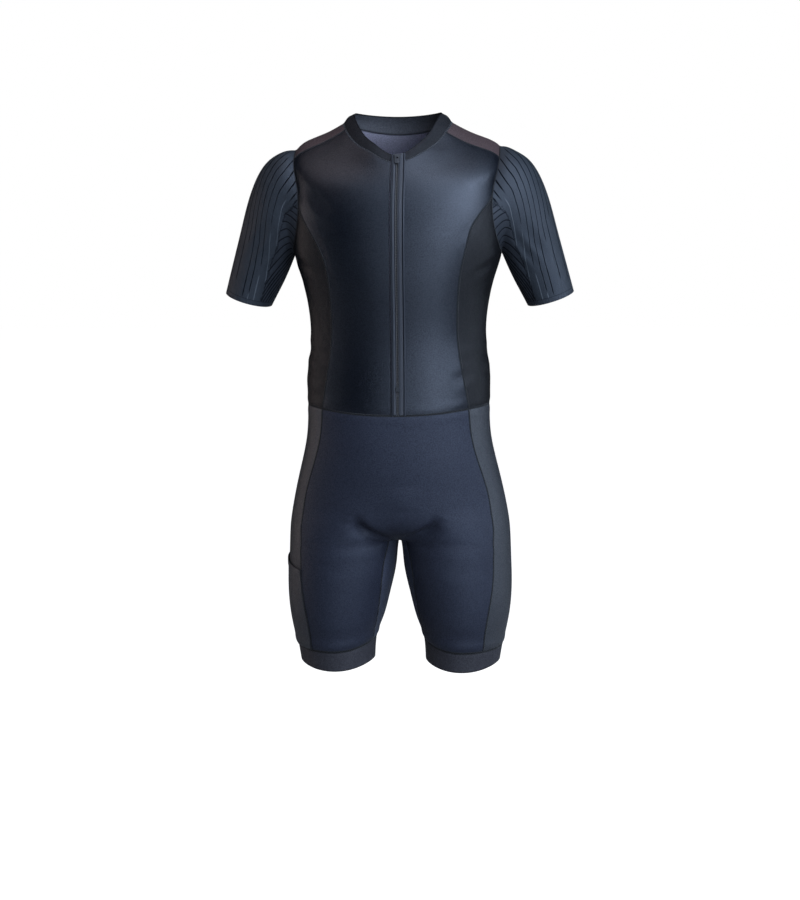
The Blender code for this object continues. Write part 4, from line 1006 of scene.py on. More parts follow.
def sewn(name, grids, looks, wrap=False, thickness=WALL, lift=THREAD_LIFT, more=None):
    """Cloth from one grid, or from a left and a right one that share their centre line. looks: the right
    side, then the wrong side. more: what else each point carries for its material, by name."""
    shown = [grid.points + grid.away * lift for grid in grids]
    faces, start = [], 0
    for grid, points in zip(grids, shown):
        if len(grids) > 1:
            points[..., 0][np.abs(points[..., 0]) < ON_MIDDLE] = 0
        flip = outward_faces(grid.points, grid.away, wrap)
        faces += [tuple(start + k for k in face) for face in grid_faces(*points.shape[:2], flip, wrap)]
        start += points[..., 0].size
    mesh = bpy.data.meshes.new(name)
    mesh.from_pydata(np.concatenate([points.reshape(-1, 3) for points in shown]).tolist(), [], faces)
    cuts = np.concatenate([grid.cut.reshape(-1, 3) for grid in grids])
    for key, vectors in {"cut": cuts, **(more or {})}.items():
        mesh.attributes.new(key, "FLOAT_VECTOR", "POINT").data.foreach_set("vector", vectors.ravel())
    if len(grids) > 1:
        work = bmesh.new()
        work.from_mesh(mesh)
        bmesh.ops.remove_doubles(work, verts=[v for v in work.verts if v.co.x == 0], dist=0.0002)
        work.to_mesh(mesh)
        work.free()
    made = placed(name, mesh, *looks)
    thick = made.modifiers.new("cloth", "SOLIDIFY")
    thick.thickness, thick.offset, thick.use_even_offset = thickness, -1, False
    thick.material_offset = len(looks) - 1
    finish_piece(made)
    across = sum(steps(points, 1).sum(axis=1).max() for points in shown)
    along = steps(shown[0], 0).sum(axis=0).max()
    area = sum(polygon.area for polygon in made.data.polygons) / 2
    print(f"{name}: {across:.3f} x {along:.3f} m, {area:.4f} m2, {len(made.data.polygons) * 2} triangles")
    return made


# %% [markdown]
# ## Fabrics
# All the knits are warp knits of very fine yarn: about thirty wales to the centimetre at most, with a
# bright face. What tells them apart is how they catch light. The body panels have a satin face and a long
# soft gleam, and the side panels a flat, nearly black one. The yokes are a brushed jersey, and their warm
# tint is painted warm light.

# %% Knit fabrics
def knit(name, colour, roughness, wale, course, depth, specular=0.5, tint=(1, 1, 1), sheen=0.03,
         speck=1.5, edge_dark=0.7, speckle=0.26):
    """A fine knit. speck: how much lighter its bright yarn is; wale and course: stitch pitch in metres."""
    look = Finish(name, roughness, sheen=sheen, specular=specular, tint=tint)
    across, along, edge = look.own("cut")
    drift = look.grain(9.0, 3.0) - 0.5
    fleck = look.grain(900.0, 2.0, 0.6)
    stitch = (across.wave(wale) * 0.5 + 0.5) * 0.6 + ((along + across.wave(wale * 2) * wale * 0.25)
                                                     .wave(course) * 0.5 + 0.5) * 0.4
    seam = edge.below(0.0016, 0.0012)
    base = look.blend(fleck.above(0.40, 2.4), tuple(c * 0.8 for c in colour),
                      tuple(c * speck for c in colour))
    base = look.blend((drift * 0.5 + 0.1).maths("MULTIPLY", 1.0, clamp=True), base,
                      tuple(c * 1.5 for c in colour))
    # Painted shade along the seams: the colour darkens within about 1.6 mm of a seam; edge_dark is roughly
    # the share of it that stays.
    base = look.blend(seam * (1 - edge_dark), base, (0.002, 0.0025, 0.003))
    look.set("Base Color", base)
    look.set("Roughness", roughness + drift * 0.10 + (fleck - 0.5) * 0.10)
    nap = look.grain(260.0, 2.0) * 0.5 + look.grain(560.0, 3.0, 0.7) * 1.6
    look.relief(stitch * 0.8 + nap - seam * 0.4, depth)
    between = look.grain(520.0, 2.0, 0.6).above(0.40, 4.0)
    # Painted shade at the seam's edge, as a dark matte shader; the knit's random dark flecks come in here
    # too.
    look.hollow((seam * 0.45).most(between * speckle))
    return look.material


BLUISH = (0.78, 0.84, 1.0)
SATIN = knit("satin_navy", (0.0024, 0.0034, 0.0062), 0.30, 0.0011, 0.0009, 0.00010, 0.74, BLUISH, sheen=0.01,
             speck=2.6)
MATT = knit("matt_navy", (0.0160, 0.0190, 0.0335), 0.50, 0.0011, 0.0009, 0.00014, 0.50, BLUISH, speck=1.7)
INNER = knit("inner_navy", (0.0560, 0.0640, 0.0960), 0.52, 0.0011, 0.0009, 0.00014, 0.50, BLUISH)
SIDE = knit("side_black", (0.0024, 0.0026, 0.0038), 0.44, 0.0014, 0.0012, 0.00016, 0.42, (0.92, 0.93, 1.0),
            sheen=0.01)
HIP = knit("hip_graphite", (0.0250, 0.0275, 0.0350), 0.42, 0.0014, 0.0012, 0.00018, 0.95, (0.90, 0.93, 1.0))
# The yoke's warm colour and warm gleam tint are painted warm light.
YOKE = knit("yoke_painted_warm_light", (0.0560, 0.0370, 0.0400), 0.48, 0.0014, 0.0012, 0.00018, 0.64, (1.0, 0.88, 0.92))
NECK = knit("collar_charcoal", (0.0105, 0.0108, 0.0140), 0.52, 0.0012, 0.0010, 0.00020, 0.26,
            (0.92, 0.94, 1.0))
NECK_IN = knit("collar_inside", (0.0520, 0.0540, 0.0660), 0.60, 0.0012, 0.0010, 0.00020, 0.30)
BAND = knit("band_plum", (0.0330, 0.0320, 0.0420), 0.52, 0.0022, 0.0011, 0.00030, 0.45)
INSIDE = knit("wrong_side", (0.520, 0.500, 0.640), 0.75, 0.0012, 0.0010, 0.00020, 0.30, edge_dark=0.85)
INSIDE_DARK = knit("wrong_side_dark", (0.030, 0.030, 0.036), 0.75, 0.0012, 0.0010, 0.00020, 0.30,
                   edge_dark=0.85)
print("knits ready")

# %% [markdown]
# The sleeves are cut from one lined cloth. Grooves run lengthwise down the outside of the arm from the
# armhole, and a few are pale along part of their length. Under the arm a second set slants in, closer
# together. The two sets meet in a ragged dark edge. The dark of the grooves and of the ragged edge is
# painted shade, drawn with a second, dark shader.

# %% Lined sleeve fabric
LINE_HALF = 0.00078       # metres
CUFF_TURN = 0.0085


def lined():
    look = Finish("lined_sleeve", 0.52, sheen=0.03, specular=0.52, tint=BLUISH)
    number, apart, tone = look.own("upper")
    under, under_apart, past = look.own("under")
    across, along, to_cuff = look.own("cut")
    wobble = (look.grain(70.0, 3.0) - 0.5) * 0.0008
    away = abs(number - (number + 0.5).maths("FLOOR")) * apart + wobble
    away_under = abs(under - (under + 0.5).maths("FLOOR")) * under_apart + wobble
    jag = (look.grain(170.0, 3.0, 0.75) - 0.5) * 0.011
    below_edge = (past + jag).maths("GREATER_THAN", 0.0)
    ragged = abs(past + jag * 1.2 - 0.0006).below(0.0012, 0.0014)
    clear = to_cuff.maths("GREATER_THAN", CUFF_TURN)
    line = away.below(LINE_HALF, 0.0006) * (1 - below_edge)
    # The dark lines, the lower set and the ragged edge are grooves; their dark is painted shade.
    dark = line * (tone * -1).most(0.0)
    pale = line * tone.most(0.0)
    dark_under = away_under.below(LINE_HALF * 1.2, 0.0007) * below_edge
    groove = dark.most(dark_under * 0.85).most(ragged * 0.6) * clear
    fleck = look.grain(800.0, 2.0, 0.6)
    body = look.blend(fleck.above(0.42, 2.0),
                      (0.0165, 0.0205, 0.0270), (0.034, 0.043, 0.055))
    body = look.blend(below_edge * 0.35, body, (0.0140, 0.0160, 0.0230))
    body = look.blend(pale * clear * 0.7, body, (0.110, 0.125, 0.145))
    cuff_seam = abs(to_cuff - CUFF_TURN).below(0.0005, 0.0005)
    look.set("Base Color", body)
    look.set("Roughness", 0.52 + (fleck - 0.5) * 0.12)
    stitch = across.wave(0.0012) * 0.15 + along.wave(0.0010) * 0.10
    look.relief(pale * 0.6 - groove * 0.8 + stitch + look.grain(240.0, 2.0) * 0.2, 0.00030)
    # Painted shade in the grooves, the ragged edge and the cuff's seam line.
    look.hollow(groove.most(cuff_seam * 0.5) * 0.95)
    return look.material


LINED = lined()

# %% [markdown]
# A flat seam is sewn with four needles and two loopers. It shows two rows of straight stitches with a
# zigzag of soft looper thread between, on a strip hardly thicker than the cloth.

# %% Flat seam thread
STITCH = 0.0023


def seam_thread(name, colour, shine):
    look = Finish(name, 0.62, sheen=0.15)
    across, along, unused = look.own("cut")
    needle = abs(abs(across) - 0.62).below(0.16, 0.14)
    beat = along.wave(STITCH) * 0.5 + 0.5
    zigzag = abs(across - along.wave(STITCH * 2) * 0.55).below(0.16, 0.16)
    threads = (needle * (beat * 0.5 + 0.5)).most(zigzag)
    # The gaps between the threads get painted shade.
    gap = (1 - threads) * 0.6
    look.set("Base Color", look.blend(threads, colour, shine))
    look.set("Roughness", 0.66 - threads * 0.12)
    look.relief(threads + look.grain(700.0, 2.0) * 0.2, 0.00030)
    look.hollow(gap)
    return look.material


THREAD = seam_thread("seam_thread_dark", (0.0050, 0.0062, 0.0090), (0.0125, 0.0150, 0.0205))
# Thread for the neck seam: real stitches, but its pale threads are painted highlight, standing in for the
# gleam along the rolled neck edge.
NECK_THREAD_PAINTED_GLEAM = seam_thread("seam_thread_painted_gleam", (0.0060, 0.0066, 0.0084), (0.0850, 0.0920, 0.1120))


def edge_binding():
    """A turned edge: bright on its roll, with painted shade in the gap where it meets the tape."""
    look = Finish("edge_binding", 0.46, sheen=0.10, tint=BLUISH)
    across, along, unused = look.own("cut")
    stitch = along.wave(STITCH) * 0.5 + 0.5
    look.set("Base Color", look.blend(stitch * 0.5, (0.0120, 0.0140, 0.0200), (0.0200, 0.0230, 0.0310)))
    look.set("Roughness", 0.48 - stitch * 0.06)
    look.relief(stitch, 0.00012)
    look.hollow(across.below(-0.35, 0.5) * 0.9)
    return look.material


EDGE = edge_binding()

# %% Zip tape
TAPE_ROLL = 0.0009        # the tape's inner edge turns under here, beside the other tape
TAPE_SEAM = 0.0028        # and a row of stitches holds the coil behind it here


def tape():
    look = Finish("zip_tape_weave", 0.46, sheen=0.04, specular=0.38, tint=(0.90, 0.92, 1.0))
    across, along, edge = look.own("cut")
    weave = across.wave(0.0010) * 0.5 + along.wave(0.0008) * 0.5
    fleck = look.grain(700.0, 2.0, 0.6)
    seam = abs(across - TAPE_SEAM).below(0.0004, 0.0004)
    over_coil = across.below(TAPE_SEAM - 0.0008, 0.0004)
    tooth = (along.wave(0.0026) * 0.5 + 0.5) * over_coil
    base = look.blend(fleck, (0.026, 0.029, 0.038), (0.054, 0.060, 0.075))
    base = look.blend(over_coil * 0.9, base, (0.020, 0.0195, 0.020))
    look.set("Base Color", look.blend(tooth * 0.8, base, (0.105, 0.100, 0.098)))
    look.set("Roughness", 0.46 + (fleck - 0.5) * 0.12)
    look.relief(weave * 0.5 - seam + tooth, 0.00016)
    # Painted shade: in the gap where the tape's edge turns under, and along the stitch row over the coil.
    look.hollow((across.below(TAPE_ROLL * 0.4, 0.0003) * 0.5).most(seam * 0.9))
    return look.material


TAPE = tape()

# %% Zip metal and moulded coil
def metal(name, colour, roughness, scuff):
    look = Finish(name, roughness, metallic=1.0)
    wear = look.grain(420.0, 3.0, 0.6)
    look.set("Base Color", look.blend(wear.above(0.5, 3.0), colour, scuff))
    look.set("Roughness", roughness + (wear - 0.5) * 0.2)
    look.relief(wear, 0.00004)
    return look.material


DARK_METAL = metal("zip_dark_metal", (0.055, 0.058, 0.066), 0.38, (0.10, 0.105, 0.115))
TAB_METAL = metal("tab_grey_metal", (0.045, 0.047, 0.054), 0.40, (0.12, 0.124, 0.135))
coil_look = Finish("coil_nylon", 0.42, specular=0.5)
coil_look.set("Base Color", coil_look.blend(coil_look.grain(300.0), (0.012, 0.0135, 0.017),
                                            (0.022, 0.024, 0.029)))
coil_look.set("Roughness", 0.36 + coil_look.grain(500.0) * 0.16)
COIL = coil_look.material
print("materials ready:", len(bpy.data.materials))

# %% [markdown]
# ## Body panels
# The fronts and the back carry the satin. Each is cut on the form, with its edges on the seam lines. The
# back is one piece across the spine, so its two halves are welded down the middle before the cloth gets
# its thickness.

# %% Fronts and back
SIDES = (("left", 1), ("right", -1))
OPEN_MIDDLE = (False, True)
cloth = {}                # pieces by the node that they stand for


def half_of(form, st, side, seamed=(True, True)):
    """One side of the body, ready to sew."""
    points, away = surface(form, st, side)
    flat = flat_place(form.at(st[..., 0], st[..., 1]), seamed=seamed)
    flat[..., 0] *= side
    return Grid(points, away, flat)


def panel(node, name, form, st, side, looks):
    """A piece on one side. side 0 makes it from both halves, welded down the middle."""
    grids = [half_of(form, st, side)] if side else [half_of(form, st, k, OPEN_MIDDLE) for k in (1, -1)]
    cloth[node] = sewn(name, grids, looks)




def zip_side(side):
    """Metres from the middle of the form to where a front ends: the zip lies a little to the left."""
    return ZIP_HALF + side * ZIP_X


for word, side in SIDES:
    front = half_panel(False, zip_side(side), side)
    panel(f"front_{word}", f"satin_front_{word}", torso, front, side, (SATIN, INSIDE))
panel("back", "satin_back", torso, half_panel(True, 0.0), 0, (SATIN, INSIDE))

# %% Side panels and yokes
for word, side in SIDES:
    panel(f"torso_side_{word}", f"side_panel_{word}", torso, side_panel(side), side, (SIDE, INSIDE_DARK))
    panel(f"yoke_{word}", f"shoulder_yoke_{word}", torso, yoke_panel(side), side, (YOKE, INSIDE))

# %% [markdown]
# ## Shorts
# The shorts are cut without a centre seam in front. The front and back each run over both legs, and a
# panel goes down the inside of each leg from the crotch. The legs end in a wide elastic band that keeps
# them from riding up on the saddle.

# %% Front, back, hips and inner legs
panel("shorts_front", "short_front", shorts, shorts_half(False), 0, (MATT, INSIDE_DARK))
panel("shorts_back", "short_back", shorts, shorts_half(True), 0, (MATT, INSIDE_DARK))
for word, side in SIDES:
    panel(f"shorts_side_{word}", f"hip_panel_{word}", shorts, shorts_side(), side, (HIP, INSIDE_DARK))
    panel(f"inner_leg_{word}", f"inner_panel_{word}", shorts, inner_leg(), side, (INNER, INSIDE_DARK))

# %% Leg bands
for word, side in SIDES:
    points, away = surface(shorts, gripper(), side)
    grid = Grid(points, away, flat_place(points, wrap=True))
    cloth[f"gripper_{word}"] = sewn(f"leg_band_{word}", [grid], (BAND, INSIDE_DARK), wrap=True,
                                    thickness=0.0015, lift=-0.0003)

# %% [markdown]
# ## Sleeves
# A raglan-like cap would bunch when the arm reaches forward, so this sleeve is nearly straight, set into
# a big oval armhole. It is short inside and long outside. Its form is a stack of tilted ovals that begins
# on the armhole's own marks. The folds are pushed in along a direction that turns from the body's to the
# sleeve's over the first few centimetres, which keeps the seam closed.

# %% Rings of a sleeve
SLEEVE_ROWS = 96
BLEND = 0.035             # metres over which the outward direction turns


def sleeve_ring(row, columns):
    """One section of a sleeve: from its outer line round the front, the inner line and the back."""
    a = np.linspace(0, 2 * pi, OVAL_SAMPLES)
    half = np.array([row.top_x - row.bottom_x, 0, row.top_z - row.bottom_z]) / 2
    middle = np.array([row.top_x + row.bottom_x, 0, row.top_z + row.bottom_z]) / 2
    arm = np.array([half[2], 0, -half[0]]) / np.linalg.norm(half)
    depth = np.where(np.sin(a) >= 0, row.front, row.back)
    line = middle + half * np.cos(a)[:, None] + arm * (row.dip * np.sin(a))[:, None]
    line[:, 1] += row.centre_y - depth * np.sin(a)
    along = arc(line)
    share = np.linspace(0, along[-1], columns + 1)[:-1]
    return np.stack([np.interp(share, along, line[:, axis]) for axis in range(3)], -1)


sleeve_rings = np.array([torso.at(arm_s, arm_t)[:-1]] + [sleeve_ring(row, MARKS) for row in SLEEVE])
sleeve_knots = np.concatenate([[0], np.cumsum(
    np.linalg.norm(np.diff(sleeve_rings, axis=0), axis=-1).mean(axis=1))])


print(f"sleeve {sleeve_knots[-1]:.3f} m long")


# %% The sleeve's surface
def sleeve_at(t):
    """Rows of points at distances t from the armhole, for the wearer's left sleeve."""
    return np.einsum("tk,kcd->tcd", spline_weights(sleeve_knots, t), sleeve_rings)


def sleeve_surface(t, side):
    """Folded points and outward directions at rows t."""
    plain = sleeve_at(t)
    around = np.roll(plain, -1, axis=1) - np.roll(plain, 1, axis=1)
    along = sleeve_at(np.asarray(t) + 0.001) - sleeve_at(np.asarray(t) - 0.001)
    away = unit(np.cross(around, along))
    turn = np.clip(np.asarray(t) / BLEND, 0, 1)[:, None, None]
    body = torso.normal(arm_s[:-1], arm_t[:-1])[None]
    push = unit(mix(body, away, turn))
    sign = np.array([side, 1, 1])
    plain, away, push = plain * sign, away * sign, push * sign
    return pulled(plain + push * shift(plain)[..., None]), away, push


# %% [markdown]
# The sleeve's lines follow its cut. Those of the upper set leave the armhole side by side and swing down
# the arm, each dark at first and some of them pale near the cuff. Below a ragged dark edge a second set
# slants down and in. Both are numbered across, so one wave of the number draws a whole set.

# %% Lines of the sleeves
FLOW = ((0.0, 0.0), (0.05, 0.075), (0.09, 0.130), (0.13, 0.170), (0.17, 0.220), (0.21, 0.255),
        (0.27, 0.300), (0.35, 0.345), (0.50, 0.415), (0.70, 0.450), (1.0, 0.460))
Line = namedtuple("Line", "start dark_from dark_to pale_from pale_to")
NONE = (2, 2)             # a stretch past the cuff isn't drawn
UPPER = [Line(start, *dark, *pale) for start, dark, pale in (
    # share of the half circle where it leaves the armhole, then shares of the length
    (-0.60, NONE, NONE), (-0.47, (0.50, 0.80), NONE), (-0.39, (0.30, 0.62), NONE),
    (-0.31, (0.20, 0.90), NONE), (-0.23, (0.12, 0.50), NONE), (-0.16, (0.10, 0.86), NONE),
    (-0.085, (0.06, 0.58), NONE), (-0.010, (0.05, 0.94), NONE), (0.065, (0.06, 0.89), (0.92, 1.0)),
    (0.143, (0.0, 0.62), (0.72, 0.97)), (0.236, (0.0, 0.27), (0.34, 0.72)), (0.321, (0.0, 0.07), NONE),
    (0.352, NONE, (0.10, 0.33)), (0.392, (0.0, 0.05), (0.50, 0.62)), (0.440, (0.0, 0.03), NONE),
    (0.60, NONE, NONE))]
EDGE_LINE = ((0.0, 0.476), (0.08, 0.548), (0.16, 0.619), (0.24, 0.667), (0.32, 0.692), (0.70, 0.697),
             (0.85, 0.705), (1.0, 0.700))
UNDER = (-1.00, -0.82, -0.70, -0.56, -0.43, -0.30, -0.12, 0.05, 0.24, 0.41, 0.58, 0.757, 0.862, 0.955, 1.060,
         1.190, 1.31, 1.45, 1.62, 1.90)
UNDER_SLANT = 3.1         # shares of the length that a lower line drops for one half circle
PALE, DARK = 1.0, -1.0
SPINE = 0.06              # the lines fade out this near the outer line, where front and back would meet


def columns(table):
    return [np.array(column) for column in zip(*table)]


def sleeve_lines(around, share):
    """(line number, metres per line, tone) of the upper set, (the same two, metres past the edge) below."""
    half = around[:, None] / 2
    turn = np.arange(MARKS) / MARKS
    u = np.broadcast_to(np.minimum(turn, 1 - turn)[None] * 2, share.shape)
    flow_at, flow = columns(FLOW)
    start = u - np.interp(share, flow_at, flow)
    starts = np.array([line.start for line in UPPER])
    number = np.interp(start, starts, np.arange(len(UPPER)))
    nearest = np.clip(np.round(number), 0, len(UPPER) - 1).astype(int)
    spans = np.array([line[1:] for line in UPPER])[nearest]
    inside = [np.clip(np.minimum(share - spans[..., k], spans[..., k + 1] - share) / 0.03 + 0.7, 0, 1)
              for k in (0, 2)]
    tone = (DARK * inside[0] + PALE * inside[1]) * np.clip(u / SPINE, 0, 1)
    step = np.interp(start, starts[:-1] + np.diff(starts) / 2, np.diff(starts))
    slope = np.interp(share + 0.01, flow_at, flow) - np.interp(share - 0.01, flow_at, flow)
    lean = 1 / np.sqrt(1 + (slope / 0.02 * half / sleeve_knots[-1]) ** 2)
    edge_at, edge = columns(EDGE_LINE)
    past = (u - np.interp(share, edge_at, edge)) * half * lean
    slanted = share + (u - 0.70) * UNDER_SLANT
    under = np.interp(slanted, UNDER, np.arange(len(UNDER)))
    under_step = np.interp(slanted, np.array(UNDER[:-1]) + np.diff(UNDER) / 2, np.diff(UNDER))
    under_metres = under_step / np.hypot(UNDER_SLANT / half, 1 / sleeve_knots[-1])
    return (np.stack([number, step * half * lean, tone], -1), np.stack([under, under_metres, past], -1))


# %% Both sleeves
sleeve_t = np.concatenate([[0.0006], np.linspace(0.003, sleeve_knots[-1], SLEEVE_ROWS)])
for word, side in SIDES:
    points, away, push = sleeve_surface(sleeve_t, side)
    plain = sleeve_at(sleeve_t)
    place = flat_place(plain, wrap=True)
    place[..., 2] = place[-1:, :, 1] - place[..., 1]
    around = np.linalg.norm(np.roll(plain, -1, axis=1) - plain, axis=2).sum(axis=1)
    share = np.broadcast_to((sleeve_t / sleeve_knots[-1])[:, None], plain.shape[:2])
    upper, under = sleeve_lines(around, share)
    cloth[f"sleeve_{word}"] = sewn(f"lined_sleeve_{word}", [Grid(points, away, place)],
                                   (LINED, INSIDE_DARK), wrap=True, more={"upper": upper, "under": under})

# %% [markdown]
# ## Collar
# The collar is a low stand of doubled jersey, cut in one strip. It leans inward and lies close to the
# neck, and is open in front, where the zip runs up to its edge.

# %% Stand collar
COLLAR_ROWS, COLLAR_COLUMNS = 12, 110
COLLAR_THICK = 0.0019


def collar_half(side):
    t = np.linspace(0, collar_form.length, COLLAR_ROWS + 1)
    start = collar_form.share(zip_side(side), t)[:, None]
    across = mix(start, 2, np.linspace(0, 1, COLLAR_COLUMNS)[None])
    half = half_of(collar_form, stack(across, t[:, None]), side, (True, False))
    half.points[:, -1, 0] = 0
    return half


cloth["collar"] = sewn("stand_collar", [collar_half(side) for word, side in SIDES], (NECK, NECK_IN),
                       thickness=COLLAR_THICK)

# %% [markdown]
# ## Flat seams
# Each seam is a slightly domed strip that follows its line over the folds. The strip's side lines are
# found on the form itself, a few millimetres off the seam, so it hugs the cloth and never cuts through.

# %% Strips along seams
SEAM_HALF = 0.0021
PROFILE = ((-1.0, -0.25), (-0.75, 0.55), (-0.3, 0.9), (0.0, 1.0), (0.3, 0.9), (0.75, 0.55), (1.0, -0.25))
SEAM_PROUD = 0.00040
S_STEP, T_STEP = 2e-3, 5e-4           # how far apart the form is probed: share, metres


def beside(form, st, off):
    """(s, t) moved off a line by `off` metres, square to it."""
    s, t = st[:, 0], st[:, 1]
    high, low = np.minimum(s + S_STEP, 2), np.maximum(s - S_STEP, 0)
    ps = (form.at(high, t) - form.at(low, t)) / (high - low)[:, None]
    pt = (form.at(s, t + T_STEP) - form.at(s, t - T_STEP)) / (2 * T_STEP)
    along = unit(np.gradient(form.at(s, t), axis=0))
    square = np.cross(unit(np.cross(ps, pt)), along) * off
    a, b, c = (ps * ps).sum(1), (ps * pt).sum(1), (pt * pt).sum(1)
    d, e = (ps * square).sum(1), (pt * square).sum(1)
    det = a * c - b * b
    return stack(np.clip(s + (d * c - e * b) / det, 0, 2), t + (a * e - b * d) / det)


# %% A strip of seam thread
seams = {}                # strips by name


def strip(name, side_points, look=THREAD, half=SEAM_HALF, proud=SEAM_PROUD, wrap=False):
    """A domed strip. side_points gives the line and its outward directions at metres off the seam, and
    wrap closes the strip into a ring."""
    lines, aways = zip(*[side_points(across * half) for across, high in PROFILE])
    points = np.stack([line + away * (high * proud + THREAD_LIFT)
                       for (across, high), line, away in zip(PROFILE, lines, aways)])
    middle = lines[len(lines) // 2]
    flat = np.zeros(points.shape)
    flat[..., 0] = np.array([across for across, high in PROFILE])[:, None]
    flat[..., 1] = arc(np.concatenate([middle, middle[:1]]) if wrap else middle)[:len(middle)]
    seams[name] = sewn(name, [Grid(points, np.stack(aways), flat)], (look,), wrap, 0.0006, 0.0)


def resample(st, form, step=0.003):
    """The same line with even steps along the cloth."""
    along = arc(form.at(st[:, 0], st[:, 1]))
    share = np.linspace(0, along[-1], max(int(along[-1] / step), 6))
    return stack(np.interp(share, along, st[:, 0]), np.interp(share, along, st[:, 1]))


def seam_on(name, form, st, side, half=0.0018, skip=0):
    """A strip along a line of (s, t) on one form. skip: how many of its first points are left out."""
    line = resample(st, form)[skip:]
    strip(name, lambda off: surface(form, beside(form, line, off), side), half=half)


# %% Seams within the torso and the shorts
for word, side in SIDES:
    for where, rear in (("front", False), ("back", True)):
        at = f"{where}_{word}"
        seam_on(f"seam_{at}", torso, princess_line(rear, side), side, half=SEAM_HALF)
        yoke = half_panel(rear, ZIP_HALF, side)[-1, NECK_COLUMNS:]
        seam_on(f"seam_yoke_{at}", torso, yoke, side, half=0.0017)
        seam_on(f"seam_hip_{at}", shorts, stack(side_seam(rear, shorts_t), shorts_t), side)
        t = shorts_t[HIP_ROWS:]
        seam_on(f"seam_inner_{at}", shorts, stack(turned(inner_share(rear, t), rear), t), side, skip=1)
    seam_on(f"seam_crotch_{word}", shorts, inner_leg()[0], side)

# %% Seams where two forms meet: armhole, waist, neck, leg band
def outside_armhole(off):
    """The armhole's line moved out onto the body."""
    ring = stack(arm_s[:-1], arm_t[:-1])
    line = np.concatenate([ring[-3:], ring, ring[:3]])
    middle = torso.at(1.0, float(arm_t[MARKS // 4]))
    return max((beside(torso, line, k)[3:-3] for k in (off, -off)),
               key=lambda st: np.linalg.norm(torso.at(st[:, 0], st[:, 1]) - middle, axis=1).mean())


def armhole(off, side):
    if off <= 0:
        return surface(torso, outside_armhole(off), side)
    points, away, push = sleeve_surface([off], side)
    return points[0], push[0]


def joined(left, right):
    """Points and directions of a left line, then those of a right one, which ends where it begins."""
    return [np.concatenate([a, b]) for a, b in zip(left, right)]


def waist(off):
    """Right round the body: the left half, then the right half back to the front."""
    form, s = torso if off >= 0 else shorts, np.linspace(0, 2, 300)
    return joined(surface(form, stack(s, abs(off)), 1), surface(form, stack(s[::-1][1:-1], abs(off)), -1))


def neck_line(off):
    """Round the neck seam from one placket edge to the other."""
    form, t = (collar_form, off) if off > 0 else (torso, torso.length + off)
    left, right = [surface(form, stack(np.linspace(form.share(zip_side(side), t), 2, 120), t), side)
                   for side in (1, -1)]
    return joined(left, [k[::-1][1:] for k in right])


def band_line(off, side):
    return surface(shorts, stack(np.linspace(0, 2, 201)[:-1], gripper_t + off), side)


for word, side in SIDES:
    strip(f"seam_armhole_{word}", lambda off: armhole(off, side), half=0.0008, proud=0.0002, wrap=True)
strip("seam_waist", waist, wrap=True)
# The neck seam's pale thread is painted highlight.
strip("seam_neck", neck_line, NECK_THREAD_PAINTED_GLEAM, half=0.0016)
for word, side in SIDES:
    strip(f"seam_band_{word}", lambda off: band_line(off, side), half=0.0020, proud=0.0005, wrap=True)

# %% [markdown]
# ## Leg pocket
# A flat pocket lies on the right hip panel, sewn into the panel's own seams and open at the top. Its
# mouth slants down towards the front and is bound with a stretch band, so a gel or a glove stays in.

# %% Pocket
POCKET_FRONT_T, POCKET_BACK_T = 0.296, 0.262      # its mouth, metres below the waist
POCKET_HEM = 0.012
POCKET_ROWS = 60
POCKET_OUT = 0.0017
POCKET_HEM_PROUD = 0.0005
POCKET_SAG = 0.0012
POCKET_FOOT = 0.0004      # its foot ends this far above the band's seam
HEM_STEP, SAG_REACH = 0.0008, 0.014   # over which the hem drops off, and the sag fades out

u = np.linspace(0, 1, SIDE_COLUMNS + 1)
mouth_t = POCKET_FRONT_T + (POCKET_BACK_T - POCKET_FRONT_T) * u
rows = np.linspace(0, 1, POCKET_ROWS + 1)[:, None]
pocket_t = mix(mouth_t[None], gripper_t - POCKET_FOOT, rows)
front_s, back_s = [side_seam(back, pocket_t.ravel()).reshape(pocket_t.shape) for back in (False, True)]
pocket = half_of(shorts, np.stack([mix(front_s, back_s, u), pocket_t], -1), -1)
below_mouth = pocket_t - mouth_t[None]
hem = np.clip((POCKET_HEM - below_mouth) / HEM_STEP + 0.5, 0, 1)
sag = POCKET_SAG * np.exp(-(below_mouth / SAG_REACH) ** 2) * np.sin(pi * u)[None] ** 2
pocket.points[:] += pocket.away * (hem * POCKET_HEM_PROUD + sag)[..., None]
cloth["leg_pocket"] = sewn("thigh_pocket", [pocket], (HIP, INSIDE_DARK), lift=POCKET_OUT)

# %% [markdown]
# ## Zip
# A full front zip lets the suit be peeled off with numb hands. Two woven tapes carry a moulded coil. The
# tapes lie a little below the fronts, whose edges are turned and stitched along them.

# %% Where the zip lies
SLIDER_DROP = 0.0065      # metres below the collar's edge, as on the solid
SLIDER_TOP = SLIDER_DROP - 0.0026
PART_HALF_GAP, COIL_HALF_GAP = 0.0014, 0.00016    # between the tapes: above the slider, below it
PART_LENGTH = 0.004                               # metres over which they part
COIL_END_Z = -0.415


def placket_edge(form, side, t):
    return form.at(form.share(zip_side(side), t), t) * (side, 1, 1)


zip_t, collar_t = side_rows(), np.linspace(0, collar_form.length, 9)
right_edge, left_edge = [np.concatenate([placket_edge(torso, side, zip_t),
                                         placket_edge(collar_form, side, collar_t)[1:]])
                         for side in (-1, 1)]
zip_drop = arc((right_edge + left_edge) / 2)
zip_drop = zip_drop[-1] - zip_drop


